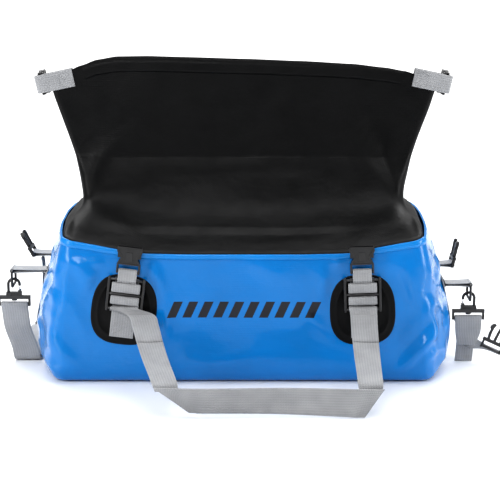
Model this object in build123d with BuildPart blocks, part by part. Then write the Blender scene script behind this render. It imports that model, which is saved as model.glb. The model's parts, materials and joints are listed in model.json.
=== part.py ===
"""Roll-top duffel dry bag: welded coated-fabric body, standing roll-top neck, webbing and buckles.

Millimetres. +X is the bag's length, -Y its front, +Z up. The origin is the centre of the base, on the floor.
"""

import os
from math import cos, radians, sin

from build123d import *

os.makedirs("parts", exist_ok=True)

# ---------------------------------------------------------------- driving dimensions
body_length = 500.0          # between the two end seams
body_depth = 300.0           # front face to rear face
side_height = 184.0          # height of the front and rear faces
body_wall = 2.0              # coated fabric and its lining
lower_corner = 32.0          # rounding of the long lower edges
end_bulge = 42.0             # how far an end panel swells past its seam
end_webbing_middle = 105.0   # height of the middle of the webbing welded to an end panel
end_webbing_height = 90.0
end_webbing_margin = 20.0    # past the centre of the tab at each edge

waist_height = 222.0         # where the black upper turns upwards
waist_half_length = 222.0
waist_half_depth = 60.0
ridge_height = 290.0         # top of the part of the neck that stands firm
ridge_half_length = 237.0
ridge_half_depth = 9.0

neck_wall = 1.6
neck_gap = 10.0              # inside width of the flat neck
fold_clearance = 10.0        # limp cloth left between two stiff lengths of the neck
lower_neck_height = 46.0
upper_neck_height = 34.0     # at the mouth's corners
mouth_rise = 31.0            # how much higher the middle of the mouth stands
neck_flare = 0.33            # how much wider the neck grows for each millimetre of height

webbing = 1.8                # thickness of all webbing
wide_webbing = 38.0
narrow_webbing = 25.0
bar_radius = 2.0             # bars of buckles and sliders
loop_clearance = 0.4         # webbing loop around a bar that it turns on
running_clearance = 0.08     # metal pin in its hole

patch_offset = 160.0         # patches, from the bag's middle
patch_height = 105.0         # centre of a patch above the floor
patch_width = 88.0
patch_tall = 97.0
patch_thickness = 1.5
patch_ridge = 0.8
ridge_inset = 9.0            # patch edge to the ridge's outer line
ridge_width = 3.0

slider_bars = (108.0, 128.0, 148.0)   # heights of a slider's lower, middle and upper bars
slider_stand = 8.0                   # bar centres, out from the panel
slider_inside = 43.0                 # between the rails
slider_rail = 4.5

handle_drop = 70.0           # from the slider's lower bar to the grip's top edge
handle_reach = 128.0         # how far the grip lies out from the bars
handle_feet = (-97.0, 162.0) # middles of the two legs where they meet the grip
floor_gap = 0.6

buckle_width = 34.0
buckle_thickness = 9.0
buckle_arm = 3.4
female_start = 10.0          # a female half's bar to its body
female_length = 34.0
male_length = 36.0
stub_length = 11.0           # slider's upper bar to a compression buckle's bar

tab_slope = 12.0             # degrees that a mouth tab falls towards its loop
tab_half_reach = 282.0       # centre of a tab's loop, from the bag's middle
tab_length = 44.0

ring_wire = 1.8              # radius
ring_width = 30.0            # inside, along the tab's width
ring_drop = 22.0
hook_radius = 8.0            # centreline of a hook's bow
hook_wire = 2.0              # radius
left_ring_out = 33.0         # rings and end straps, past the tip of the end panel
right_ring_out = 27.0
left_strap_out = 10.0
right_strap_out = 8.0
ring_y = -35.0
strap_y = 18.0

# ---------------------------------------------------------------- worked-out sizes
half_length = body_length / 2
half_depth = body_depth / 2
end_tip = half_length + end_bulge
left_ring_place = (-end_tip - left_ring_out, ring_y, 134.0)
right_ring_place = (end_tip + right_ring_out, ring_y, 114.0)
left_end_strap_place = (-end_tip - left_strap_out, strap_y, 146.0)
right_end_strap_place = (end_tip + right_strap_out, strap_y, 130.0)
fold_height = ridge_height + fold_clearance + 3.0
lower_neck_bottom = fold_height + fold_clearance / 2
lower_neck_top = lower_neck_bottom + lower_neck_height
roll_height = lower_neck_top + fold_clearance / 2 - 1.0
upper_neck_bottom = roll_height + fold_clearance / 2 - 1.0
mouth_corner = upper_neck_bottom + upper_neck_height
mouth_top = mouth_corner + mouth_rise
neck_outside = neck_gap / 2 + neck_wall
band_thickness = 1.2
loop_inner = bar_radius + loop_clearance
loop_outer = loop_inner + webbing
pieces = {}


def keep(name, part):
    """Label a finished piece and write it."""
    part.label = name
    export_step(part, f"parts/{name}.step")
    pieces[name] = part


def neck_half_length(height):
    """Half the neck's width at a height: it flares steadily above the ridge."""
    return ridge_half_length + (height - ridge_height) * neck_flare


def mirrored(source, plane):
    """A mirror image of a finished piece."""
    with BuildPart() as copy:
        mirror(source, about=plane)
    return copy.part


# ---------------------------------------------------------------- body panels
with BuildPart() as base_panel:
    with BuildSketch(Plane.XY):
        Rectangle(body_length, body_depth - 2 * lower_corner)
    extrude(amount=body_wall)

with BuildPart() as front_panel:
    with BuildSketch(Plane.YZ):
        with BuildLine():
            corner = (lower_corner - half_depth, lower_corner)
            CenterArc(corner, lower_corner, 180, 90)
            CenterArc(corner, lower_corner - body_wall, 180, 90)
            Line((lower_corner - half_depth, 0), (lower_corner - half_depth, body_wall))
            Polyline(
                (-half_depth, lower_corner),
                (-half_depth, side_height),
                (body_wall - half_depth, side_height),
                (body_wall - half_depth, lower_corner),
            )
        make_face()
    extrude(amount=half_length, both=True)

keep("base_panel", base_panel.part)
keep("front_panel", front_panel.part)
keep("rear_panel", mirrored(front_panel.part, Plane.XZ))


def end_form(grow):
    """The closed form of the right end, grown all round: upright sections that shrink towards the tip."""
    sections = (
        (0.0, half_depth, 0.0, side_height),
        (0.62 * end_bulge + grow, half_depth - 16, 3.0, side_height - 20),
        (end_bulge + grow, half_depth - 62, 26.0, side_height - 62),
    )
    corner = lower_corner + grow
    with BuildPart() as form:
        for out, width, bottom, top in sections:
            half_width = width + grow
            low = bottom - grow
            high = top + grow
            with BuildSketch(Plane.YZ.offset(half_length + out)):
                with BuildLine():
                    CenterArc((corner - half_width, low + corner), corner, 180, 90)
                    Line((corner - half_width, low), (half_width - corner, low))
                    CenterArc((half_width - corner, low + corner), corner, 270, 90)
                    Polyline(
                        (half_width, low + corner),
                        (half_width, high),
                        (-half_width, high),
                        (-half_width, low + corner),
                    )
                make_face()
        loft()
    return form.part


outer_end = end_form(0)
with BuildPart() as right_end_panel:
    add(outer_end)
    add(end_form(-body_wall), mode=Mode.SUBTRACT)
    with BuildSketch(Plane.YZ.offset(half_length)):
        with Locations((0, side_height / 2)):
            Rectangle(body_depth - 2 * body_wall, side_height - 2 * body_wall)
    extrude(amount=-2 * body_wall, mode=Mode.SUBTRACT)

keep("right_end_panel", right_end_panel.part)
keep("left_end_panel", mirrored(right_end_panel.part, Plane.YZ))


# ---------------------------------------------------------------- black upper
def upper_form(shrink):
    """The closed form from the body's rim to the top of the ridge."""
    with BuildPart() as form:
        for height, length, depth in (
            (side_height, half_length + body_wall, half_depth),
            (waist_height, waist_half_length, waist_half_depth),
            (ridge_height, ridge_half_length, ridge_half_depth),
        ):
            with BuildSketch(Plane.XY.offset(height)):
                Rectangle(2 * (length - shrink), 2 * (depth - shrink))
        loft(ruled=True)
    return form.part


with BuildPart() as front_shoulder:
    add(upper_form(0))
    add(upper_form(body_wall), mode=Mode.SUBTRACT)
    split(bisect_by=Plane.XZ, keep=Keep.TOP)

keep("front_shoulder", front_shoulder.part)
keep("rear_shoulder", mirrored(front_shoulder.part, Plane.XZ))

# ---------------------------------------------------------------- roll-top neck
with BuildPart() as neck_lower_front:
    with BuildSketch(Plane.XZ.offset(neck_gap / 2)):
        Polygon(
            (-neck_half_length(lower_neck_bottom), lower_neck_bottom),
            (neck_half_length(lower_neck_bottom), lower_neck_bottom),
            (neck_half_length(lower_neck_top), lower_neck_top),
            (-neck_half_length(lower_neck_top), lower_neck_top),
            align=None,
        )
    extrude(amount=neck_wall)

keep("neck_lower_front", neck_lower_front.part)
keep("neck_lower_rear", mirrored(neck_lower_front.part, Plane.XZ))


def neck_sides(bottom, top):
    """The two narrow side walls that join the front and rear of a length of neck."""
    with BuildPart() as sides:
        with BuildSketch(Plane.XZ):
            Polygon(
                (neck_half_length(bottom) - neck_wall, bottom),
                (neck_half_length(bottom), bottom),
                (neck_half_length(top), top),
                (neck_half_length(top) - neck_wall, top),
                align=None,
            )
        extrude(amount=neck_gap / 2, both=True)
        mirror(about=Plane.YZ)
    return sides.part


keep("neck_lower_sides", neck_sides(lower_neck_bottom, lower_neck_top))
keep("neck_upper_sides", neck_sides(upper_neck_bottom, mouth_corner))

with BuildPart() as neck_upper_front:
    with BuildSketch(Plane.XZ.offset(neck_gap / 2)):
        with BuildLine():
            Polyline(
                (-neck_half_length(mouth_corner), mouth_corner),
                (-neck_half_length(upper_neck_bottom), upper_neck_bottom),
                (neck_half_length(upper_neck_bottom), upper_neck_bottom),
                (neck_half_length(mouth_corner), mouth_corner),
            )
            ThreePointArc(
                (-neck_half_length(mouth_corner), mouth_corner),
                (0, mouth_top),
                (neck_half_length(mouth_corner), mouth_corner),
            )
        make_face()
    extrude(amount=neck_wall)

keep("neck_upper_front", neck_upper_front.part)
keep("neck_upper_rear", mirrored(neck_upper_front.part, Plane.XZ))

band_width = 20.0
band_half = neck_half_length(mouth_corner) - tab_length
band_drop = mouth_rise * (band_half / neck_half_length(mouth_corner)) ** 2
with BuildPart() as front_stiffener:
    with BuildSketch(Plane.XZ.offset(neck_outside)):
        with BuildLine():
            ThreePointArc((-band_half, mouth_top - band_drop), (0, mouth_top), (band_half, mouth_top - band_drop))
            Line((band_half, mouth_top - band_drop), (band_half, mouth_top - band_drop - band_width))
            ThreePointArc(
                (-band_half, mouth_top - band_drop - band_width),
                (0, mouth_top - band_width),
                (band_half, mouth_top - band_drop - band_width),
            )
            Line((-band_half, mouth_top - band_drop - band_width), (-band_half, mouth_top - band_drop))
        make_face()
    extrude(amount=band_thickness)

keep("front_stiffener", front_stiffener.part)
keep("rear_stiffener", mirrored(front_stiffener.part, Plane.XZ))

# ---------------------------------------------------------------- mouth tabs
tab_height = mouth_corner - 4.0
slope = radians(tab_slope)
tab_plane = Plane(
    origin=(tab_half_reach, 0, tab_height), x_dir=(cos(slope), 0, -sin(slope)), z_dir=(sin(slope), 0, cos(slope))
)
with BuildPart() as right_tab:
    with BuildSketch(tab_plane):
        with Locations((-tab_length / 2, 0)):
            Rectangle(tab_length, 2 * (neck_outside + webbing))
        Circle(neck_outside + webbing)
        with Locations((-tab_length / 2, 0)):
            Rectangle(tab_length, 2 * neck_outside, mode=Mode.SUBTRACT)
        Circle(neck_outside, mode=Mode.SUBTRACT)
    extrude(amount=narrow_webbing / 2, both=True)

keep("right_tab", right_tab.part)
keep("left_tab", mirrored(right_tab.part, Plane.YZ))


# ---------------------------------------------------------------- hardware that repeats
arm_place = (buckle_width - buckle_arm) / 2
arm_thickness = 2 * bar_radius + 1


def female_buckle(plane):
    """Socket half of a side-release buckle: bar along the plane's x, mouth towards its y."""
    with BuildPart(plane) as buckle:
        with Locations((0, (female_start + female_length) / 2, 0)):
            Box(buckle_width, female_length - female_start, buckle_thickness)
        fillet(buckle.edges().filter_by(Axis(buckle.part.center(), plane.y_dir)), 2.0)
        with Locations((-arm_place, female_start / 2 - 1, 0), (arm_place, female_start / 2 - 1, 0)):
            Box(buckle_arm, female_start + 4, arm_thickness)
        Cylinder(bar_radius, 2 * arm_place, rotation=(0, 90, 0))
        with Locations((0, female_length - 9, 0)):
            Box(buckle_width - 8, 18.5, buckle_thickness - 3.4, mode=Mode.SUBTRACT)
            Box(buckle_width + 1, 9, 5, mode=Mode.SUBTRACT)
    return buckle.part


def male_buckle(plane):
    """Prong half of a side-release buckle: bar along the plane's x, prongs towards its y."""
    with BuildPart(plane) as buckle:
        shoulder = 13.0
        with Locations((-arm_place, shoulder / 2 - 2, 0), (arm_place, shoulder / 2 - 2, 0)):
            Box(buckle_arm, shoulder - 1, arm_thickness)
        Cylinder(bar_radius, 2 * arm_place, rotation=(0, 90, 0))
        with Locations((0, shoulder - 2.5, 0)):
            Box(buckle_width, 5, arm_thickness + 0.4)
        with BuildSketch(plane.offset(-2.4)):
            with BuildLine():
                Polyline(
                    (7.5, shoulder - 1), (8.5, male_length - 8), (7.0, male_length), (12.0, male_length - 1),
                    (14.5, male_length - 8), (12.2, male_length - 9), (11.5, shoulder - 1), close=True,
                )
            make_face()
            mirror(about=Plane.YZ)
            with Locations((0, (shoulder + male_length) / 2 - 3)):
                Rectangle(4, male_length - shoulder - 4)
        extrude(amount=4.8)
    return buckle.part


# ---------------------------------------------------------------- patches with their hardware
def patch(plane):
    """Oval welded patch with a raised ridge, broken where the anchor webbing crosses it."""
    with BuildPart(plane) as piece:
        with BuildSketch(plane):
            with Locations((0, patch_height)):
                Ellipse(patch_width / 2, patch_tall / 2)
        extrude(amount=patch_thickness)
        with BuildSketch(plane.offset(patch_thickness)):
            with Locations((0, patch_height)):
                Ellipse(patch_width / 2 - ridge_inset, patch_tall / 2 - ridge_inset)
                inner = ridge_inset + ridge_width
                Ellipse(patch_width / 2 - inner, patch_tall / 2 - inner, mode=Mode.SUBTRACT)
                Rectangle(wide_webbing + 1, patch_tall, mode=Mode.SUBTRACT)
        extrude(amount=patch_ridge)
    return piece.part


def anchor(plane):
    """Webbing sewn to the patch, with a loop that holds the slider by its middle bar."""
    low = patch_height - patch_tall / 2 + 7
    high = patch_height + patch_tall / 2 - 4
    face = patch_thickness + webbing
    with BuildPart(plane) as piece:
        with Locations((0, (low + high) / 2, patch_thickness + webbing / 2)):
            Box(wide_webbing, high - low, webbing)
        with Locations((0, slider_bars[1], (face + slider_stand) / 2)):
            Box(wide_webbing, 2 * loop_outer, slider_stand - face)
        with Locations((0, slider_bars[1], slider_stand)):
            Cylinder(loop_outer, wide_webbing, rotation=(0, 90, 0))
            Cylinder(loop_inner, wide_webbing + 1, rotation=(0, 90, 0), mode=Mode.SUBTRACT)
    return piece.part


def slider(plane):
    """Three-bar slider: its bars hold the compression strap, the anchor webbing and the handle."""
    middle = (slider_bars[0] + slider_bars[2]) / 2
    rail_place = (slider_inside + slider_rail) / 2
    with BuildPart(plane) as piece:
        with Locations((-rail_place, middle, slider_stand), (rail_place, middle, slider_stand)):
            Box(slider_rail, slider_bars[2] - slider_bars[0] + 8, arm_thickness)
        for height in slider_bars:
            with Locations((0, height, slider_stand)):
                Cylinder(bar_radius, slider_inside + 1, rotation=(0, 90, 0))
    return piece.part


def compression_stub(plane):
    """Short doubled webbing from the slider's upper bar to a buckle's bar, standing up the panel."""
    middle = slider_bars[2] + stub_length / 2
    with BuildPart(plane) as piece:
        with Locations((0, slider_bars[2], slider_stand), (0, slider_bars[2] + stub_length, slider_stand - 2)):
            Cylinder(loop_outer, narrow_webbing, rotation=(0, 90, 0))
        with Locations((0, middle, slider_stand - 1)):
            Box(narrow_webbing, stub_length, 2 * webbing)
        with Locations((0, slider_bars[2], slider_stand), (0, slider_bars[2] + stub_length, slider_stand - 2)):
            Cylinder(loop_inner, narrow_webbing + 1, rotation=(0, 90, 0), mode=Mode.SUBTRACT)
    return piece.part


def face_plane(x, front):
    """Plane on the front or rear face at x: local y is up and local z points out of the bag."""
    if front:
        return Plane(origin=(x, -half_depth, 0), x_dir=(1, 0, 0), z_dir=(0, -1, 0))
    return Plane(origin=(x, half_depth, 0), x_dir=(-1, 0, 0), z_dir=(0, 1, 0))


for face_name, front in (("front", True), ("rear", False)):
    for side_name, x in (("left", -patch_offset), ("right", patch_offset)):
        place = face_plane(x, front)
        buckle_place = Plane(
            origin=place.from_local_coords((0, slider_bars[2] + stub_length, slider_stand - 2)),
            x_dir=place.x_dir,
            z_dir=place.z_dir,
        )
        corner_name = f"{face_name}_{side_name}"
        keep(f"{corner_name}_patch", patch(place))
        keep(f"{corner_name}_anchor", anchor(place))
        keep(f"{corner_name}_slider", slider(place))
        keep(f"{corner_name}_compression_webbing", compression_stub(place))
        if front:
            keep(f"{corner_name}_female_buckle", female_buckle(buckle_place))
        else:
            keep(f"{corner_name}_male_buckle", male_buckle(buckle_place))

# ---------------------------------------------------------------- carry handles
loop_length = wide_webbing - 0.5
bar_depth = half_depth + slider_stand
grip_top = slider_bars[0] - handle_drop
leg_plane = Plane(
    origin=(0, -bar_depth, slider_bars[0]),
    x_dir=(1, 0, 0),
    z_dir=Vector(0, -handle_drop, handle_reach),
)
leg_start = -(loop_inner + loop_outer) / 2
leg_end = -((handle_drop**2 + handle_reach**2) ** 0.5)

with BuildPart() as front_handle:
    with BuildSketch(leg_plane.offset(-webbing / 2)):
        for top, foot in zip((-patch_offset, patch_offset), handle_feet):
            reach = loop_length / 2
            Polygon(
                (top - reach, leg_start), (top + reach, leg_start), (foot + reach, leg_end), (foot - reach, leg_end),
                align=None,
            )
    extrude(amount=webbing)
    with Locations((sum(handle_feet) / 2, -bar_depth - handle_reach, (grip_top + floor_gap) / 2)):
        Box(handle_feet[1] - handle_feet[0] + loop_length, 2 * webbing, grip_top - floor_gap)
    with Locations((-patch_offset, -bar_depth, slider_bars[0]), (patch_offset, -bar_depth, slider_bars[0])):
        Cylinder(loop_outer, loop_length, rotation=(0, 90, 0))
        Cylinder(loop_inner, loop_length + 1, rotation=(0, 90, 0), mode=Mode.SUBTRACT)

keep("front_handle", front_handle.part)
keep("rear_handle", mirrored(front_handle.part, Plane.XZ))

# ---------------------------------------------------------------- mouth buckles
tab_loop = tab_plane.origin
right_mouth_plane = Plane(origin=tab_loop, x_dir=tab_plane.z_dir, z_dir=-tab_plane.x_dir)
right_mouth_buckle = female_buckle(right_mouth_plane)
keep("right_mouth_buckle", right_mouth_buckle)
keep("left_mouth_buckle", mirrored(right_mouth_buckle, Plane.YZ))


# ---------------------------------------------------------------- end webbing and rings
def end_webbing(side, ring_place, strap_place):
    """Upright webbing welded to an end panel, with the tabs that hold the ring and the end strap."""
    with BuildPart() as piece:
        add(end_form(webbing))
        add(outer_end, mode=Mode.SUBTRACT)
        with Locations((end_tip, (ring_y + strap_y) / 2, end_webbing_middle)):
            webbing_width = strap_y - ring_y + 2 * end_webbing_margin
            Box(4 * end_bulge, webbing_width, end_webbing_height, mode=Mode.INTERSECT)
        for (x, y, z), width in ((ring_place, ring_width - 5), (strap_place, narrow_webbing)):
            start = end_tip - 22
            end = abs(x) - loop_inner - 0.2
            with BuildSketch(Plane.XZ.offset(-y)):
                with Locations(((start + end) / 2, z)):
                    Rectangle(end - start, 2 * webbing)
                with Locations((abs(x), z)):
                    Circle(loop_outer)
                    Circle(loop_inner, mode=Mode.SUBTRACT)
            extrude(amount=width / 2, both=True)
        add(outer_end, mode=Mode.SUBTRACT)
    return piece.part if side > 0 else mirrored(piece.part, Plane.YZ)


keep("right_end_webbing", end_webbing(1, right_ring_place, right_end_strap_place))
keep("left_end_webbing", end_webbing(-1, left_ring_place, left_end_strap_place))


def ring(place):
    """Rectangular wire ring: its upper bar lies in the tab's loop and its lower bar takes the hook."""
    x, y, z = place
    across = ring_width / 2 + ring_wire
    with BuildPart() as piece:
        with BuildLine() as path:
            FilletPolyline(
                (x, y + across, z), (x, y + across, z - ring_drop), (x, y - across, z - ring_drop),
                (x, y - across, z), radius=4.0, close=True,
            )
        with BuildSketch(Plane(origin=path.line @ 0, z_dir=path.line % 0)):
            Circle(ring_wire)
        sweep(path=path.line)
    return piece.part


keep("left_ring", ring(left_ring_place))
keep("right_ring", ring(right_ring_place))

# ---------------------------------------------------------------- shoulder strap hooks
hook_seat = -11.0            # top of the hook's base, below the ring's bar
hook_base = 5.0
gate_pivot = hook_seat + 1.8
gate_top = -3.4
gate_wire = 1.0
gate_pin = 0.6
swivel_pin = 2.6
swivel_head = 4.0
frame_thick = 4.5
axial_gap = 0.3
frame_top = hook_seat - hook_base - axial_gap
hook_bar = frame_top - frame_thick - 8.0


def hook_plane(place, side):
    """Plane on the ring's lower bar: local x points inwards to the bag and local y up."""
    x, y, z = place
    if side < 0:
        return Plane(origin=(x, y, z - ring_drop), x_dir=(1, 0, 0), z_dir=(0, -1, 0))
    return Plane(origin=(x, y, z - ring_drop), x_dir=(-1, 0, 0), z_dir=(0, 1, 0))


def snap_hook(plane):
    """Forged hook: bow, base with two ears for the gate, and the swivel pin under it."""
    with BuildPart(plane) as piece:
        with BuildLine(plane) as path:
            Line((-hook_radius, hook_seat - 1), (-hook_radius, 0))
            CenterArc((0, 0), hook_radius, 180, -180)
            Line((hook_radius, 0), (hook_radius, gate_top + 1.6))
        with BuildSketch(Plane(origin=path.line @ 0, z_dir=path.line % 0)):
            Circle(hook_wire)
        sweep(path=path.line)
        with Locations((0, hook_seat - hook_base / 2, 0)):
            Box(2 * hook_radius + 6, hook_base, 8)
        ear = (hook_radius, gate_pivot - 0.6, 3.1)
        with Locations(ear, (ear[0], ear[1], -ear[2])):
            Box(4, 4.4, 1.4)
        with Locations((hook_radius, gate_pivot, 0)):
            Cylinder(gate_pin, 7.6)
        with Locations((0, hook_seat - hook_base - (frame_thick + 2) / 2, 0)):
            Cylinder(swivel_pin, frame_thick + 2, rotation=(90, 0, 0))
        with Locations((0, frame_top - frame_thick - axial_gap - 1, 0)):
            Cylinder(swivel_head, 2, rotation=(90, 0, 0))
    return piece.part


def hook_gate(plane):
    """Sprung wire gate that closes the hook's mouth from its pin to the bow's tip."""
    with BuildPart(plane) as piece:
        with Locations((hook_radius, (gate_pivot + gate_top) / 2, 0)):
            Cylinder(gate_wire, gate_top - gate_pivot, rotation=(90, 0, 0))
        with Locations((hook_radius, gate_pivot, 0)):
            Cylinder(1.5, 4.4)
            Cylinder(gate_pin + running_clearance, 5, mode=Mode.SUBTRACT)
    return piece.part


def swivel_frame(plane):
    """Frame that turns on the hook's pin, with the bar that the wide webbing goes round."""
    half = wide_webbing / 2 + 0.8
    arm = 3.0
    with BuildPart(plane) as piece:
        with Locations((0, frame_top - frame_thick / 2, 0)):
            Box(2 * (half + arm), frame_thick, 7)
        for side in (-1, 1):
            with Locations((side * (half + arm / 2), (frame_top + hook_bar) / 2 - 1.2, 0)):
                Box(arm, frame_top - hook_bar + 2.4, 5)
        with Locations((0, hook_bar, 0)):
            Cylinder(bar_radius, 2 * half + arm, rotation=(0, 90, 0))
        with Locations((0, frame_top - frame_thick / 2, 0)):
            Cylinder(swivel_pin + running_clearance, frame_thick + 1, rotation=(90, 0, 0), mode=Mode.SUBTRACT)
            with Locations((0, -frame_thick / 2 - 0.2, 0)):
                Cylinder(swivel_head + 0.4, 0.8, rotation=(90, 0, 0), mode=Mode.SUBTRACT)
    return piece.part


left_hook_plane = hook_plane(left_ring_place, -1)
right_hook_plane = hook_plane(right_ring_place, 1)
for side_name, place in (("left", left_hook_plane), ("right", right_hook_plane)):
    keep(f"{side_name}_hook", snap_hook(place))
    keep(f"{side_name}_gate", hook_gate(place))
    keep(f"{side_name}_swivel_frame", swivel_frame(place))

# ---------------------------------------------------------------- shoulder webbing
left_x, shoulder_y, left_ring_z = left_ring_place
left_bar_z = left_ring_z - ring_drop + hook_bar
left_foot = left_x + 17.0
folded_layers = 3
fold_thickness = folded_layers * webbing
floor_run = 180.0
with BuildPart() as left_shoulder_webbing:
    with BuildSketch(Plane.XZ.offset(-shoulder_y - webbing / 2)):
        reach = wide_webbing / 2
        Polygon(
            (left_x - reach, left_bar_z - loop_inner - 0.6), (left_x + reach, left_bar_z - loop_inner - 0.6),
            (left_foot + reach, floor_gap), (left_foot - reach, floor_gap), align=None,
        )
    extrude(amount=webbing)
    with Locations((left_foot, shoulder_y + floor_run / 2, floor_gap + fold_thickness / 2)):
        Box(wide_webbing, floor_run, fold_thickness)
    with Locations((left_x, shoulder_y, left_bar_z)):
        Cylinder(loop_outer, wide_webbing, rotation=(0, 90, 0))
        Cylinder(loop_inner, wide_webbing + 1, rotation=(0, 90, 0), mode=Mode.SUBTRACT)
    left_buckle_y = shoulder_y + floor_run + 6
    with Locations((left_foot, left_buckle_y - 3, loop_outer + floor_gap)):
        Box(narrow_webbing, 6, webbing)
    with Locations((left_foot, left_buckle_y, loop_outer + floor_gap)):
        Cylinder(loop_outer, narrow_webbing, rotation=(0, 90, 0))
        Cylinder(loop_inner, narrow_webbing + 1, rotation=(0, 90, 0), mode=Mode.SUBTRACT)
keep("left_shoulder_webbing", left_shoulder_webbing.part)
left_buckle_plane = Plane(
    origin=(left_foot, left_buckle_y, loop_outer + floor_gap), x_dir=(1, 0, 0), z_dir=(0, 0, 1)
)
keep("shoulder_female_buckle", female_buckle(left_buckle_plane))

right_x, _, right_ring_z = right_ring_place
right_bar_z = right_ring_z - ring_drop + hook_bar
doubled_drop = 38.0
shoulder_buckle_x = right_x + 33.0
shoulder_buckle_z = 18.0
buckle_tilt = radians(25)
shoulder_buckle_plane = Plane(
    origin=(shoulder_buckle_x, shoulder_y - arm_thickness / 2 - 0.3, shoulder_buckle_z),
    x_dir=(cos(buckle_tilt), 0, -sin(buckle_tilt)),
    z_dir=(0, -1, 0),
)
with BuildPart() as right_shoulder_webbing:
    reach = wide_webbing / 2
    with Locations((right_x, shoulder_y, right_bar_z - doubled_drop / 2)):
        Box(wide_webbing, 2 * webbing, doubled_drop)
    tail_top = right_bar_z - doubled_drop + 1
    with Locations((right_x - 5, shoulder_y + webbing / 2, (tail_top + floor_gap) / 2)):
        Box(narrow_webbing, webbing, tail_top - floor_gap)
    with BuildSketch(Plane.XZ.offset(-shoulder_y - webbing)):
        Polygon(
            (right_x - 3, tail_top), (right_x + reach, tail_top),
            tuple(shoulder_buckle_plane.from_local_coords((narrow_webbing / 2, 0, 0)))[::2],
            tuple(shoulder_buckle_plane.from_local_coords((-narrow_webbing / 2, 0, 0)))[::2],
            align=None,
        )
    extrude(amount=webbing)
    with Locations((right_x, shoulder_y, right_bar_z)):
        Cylinder(loop_outer, wide_webbing, rotation=(0, 90, 0))
        Cylinder(loop_inner, wide_webbing + 1, rotation=(0, 90, 0), mode=Mode.SUBTRACT)
    with BuildSketch(Plane(shoulder_buckle_plane.origin, x_dir=(0, 1, 0), z_dir=shoulder_buckle_plane.x_dir)):
        Circle(loop_outer)
    extrude(amount=narrow_webbing / 2, both=True)
    with BuildSketch(Plane(shoulder_buckle_plane.origin, x_dir=(0, 1, 0), z_dir=shoulder_buckle_plane.x_dir)):
        Circle(loop_inner)
    extrude(amount=buckle_width, both=True, mode=Mode.SUBTRACT)
keep("right_shoulder_webbing", right_shoulder_webbing.part)
keep("shoulder_male_buckle", male_buckle(shoulder_buckle_plane))

# ---------------------------------------------------------------- end straps
end_buckle_rise = {"left": radians(62), "right": radians(78)}


def end_buckle_plane(place, side, rise):
    """Plane on an end strap's bar: local x along the bar and local y towards the prongs, up and outwards."""
    if side < 0:
        return Plane(origin=place, x_dir=(0, 1, 0), z_dir=(sin(rise), 0, cos(rise)))
    return Plane(origin=place, x_dir=(0, -1, 0), z_dir=(-sin(rise), 0, cos(rise)))


keep("left_end_buckle", male_buckle(end_buckle_plane(left_end_strap_place, -1, end_buckle_rise["left"])))
keep("right_end_buckle", male_buckle(end_buckle_plane(right_end_strap_place, 1, end_buckle_rise["right"])))

tail_length = 96.0
strap_x, tail_y, tail_z = left_end_strap_place
tail_x = abs(strap_x) - loop_outer - webbing / 2
with BuildPart() as left_end_tail:
    with Locations((-tail_x, tail_y, tail_z - webbing - tail_length / 2)):
        Box(webbing, narrow_webbing, tail_length)
keep("left_end_tail", left_end_tail.part)

print(len(pieces), "pieces")
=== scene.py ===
"""Roll-top duffel dry bag: a soft welded body with a standing neck, webbing, sliders, hooks and buckles.

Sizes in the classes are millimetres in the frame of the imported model. Meshes are made in metres.
"""

import json
import logging
from collections.abc import Callable, Sequence
from dataclasses import dataclass
from enum import Enum
from math import cos, exp, hypot, pi, radians, sin

import bmesh
import bpy
from mathutils import Matrix, Vector, noise

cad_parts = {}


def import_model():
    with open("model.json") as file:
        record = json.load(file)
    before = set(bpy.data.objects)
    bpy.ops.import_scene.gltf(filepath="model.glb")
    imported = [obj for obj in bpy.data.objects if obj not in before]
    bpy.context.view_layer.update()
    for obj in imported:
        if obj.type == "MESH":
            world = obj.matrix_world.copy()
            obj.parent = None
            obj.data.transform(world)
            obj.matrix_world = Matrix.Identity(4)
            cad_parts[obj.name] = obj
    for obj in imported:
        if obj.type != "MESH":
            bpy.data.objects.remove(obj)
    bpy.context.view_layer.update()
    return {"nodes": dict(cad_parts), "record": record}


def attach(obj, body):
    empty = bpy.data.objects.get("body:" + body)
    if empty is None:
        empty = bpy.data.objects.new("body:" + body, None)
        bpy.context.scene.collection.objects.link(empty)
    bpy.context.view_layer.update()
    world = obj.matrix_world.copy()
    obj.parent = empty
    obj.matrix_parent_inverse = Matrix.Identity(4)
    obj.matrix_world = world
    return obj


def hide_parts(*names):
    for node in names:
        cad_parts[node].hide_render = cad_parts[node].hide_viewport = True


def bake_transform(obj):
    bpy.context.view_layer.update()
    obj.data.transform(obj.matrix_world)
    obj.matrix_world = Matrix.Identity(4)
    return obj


METRES = 0.001
LOG = logging.getLogger("dry_bag")


class Side(Enum):
    """The two ends of the bag, with the sign of x."""

    LEFT = -1
    RIGHT = 1

    @property
    def word(self) -> str:
        """The side's name inside piece and node names."""
        return self.name.lower()


class Face(Enum):
    """The two long faces of the bag, with the sign of y."""

    FRONT = -1
    REAR = 1

    @property
    def word(self) -> str:
        """The face's name inside piece and node names."""
        return self.name.lower()


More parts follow.
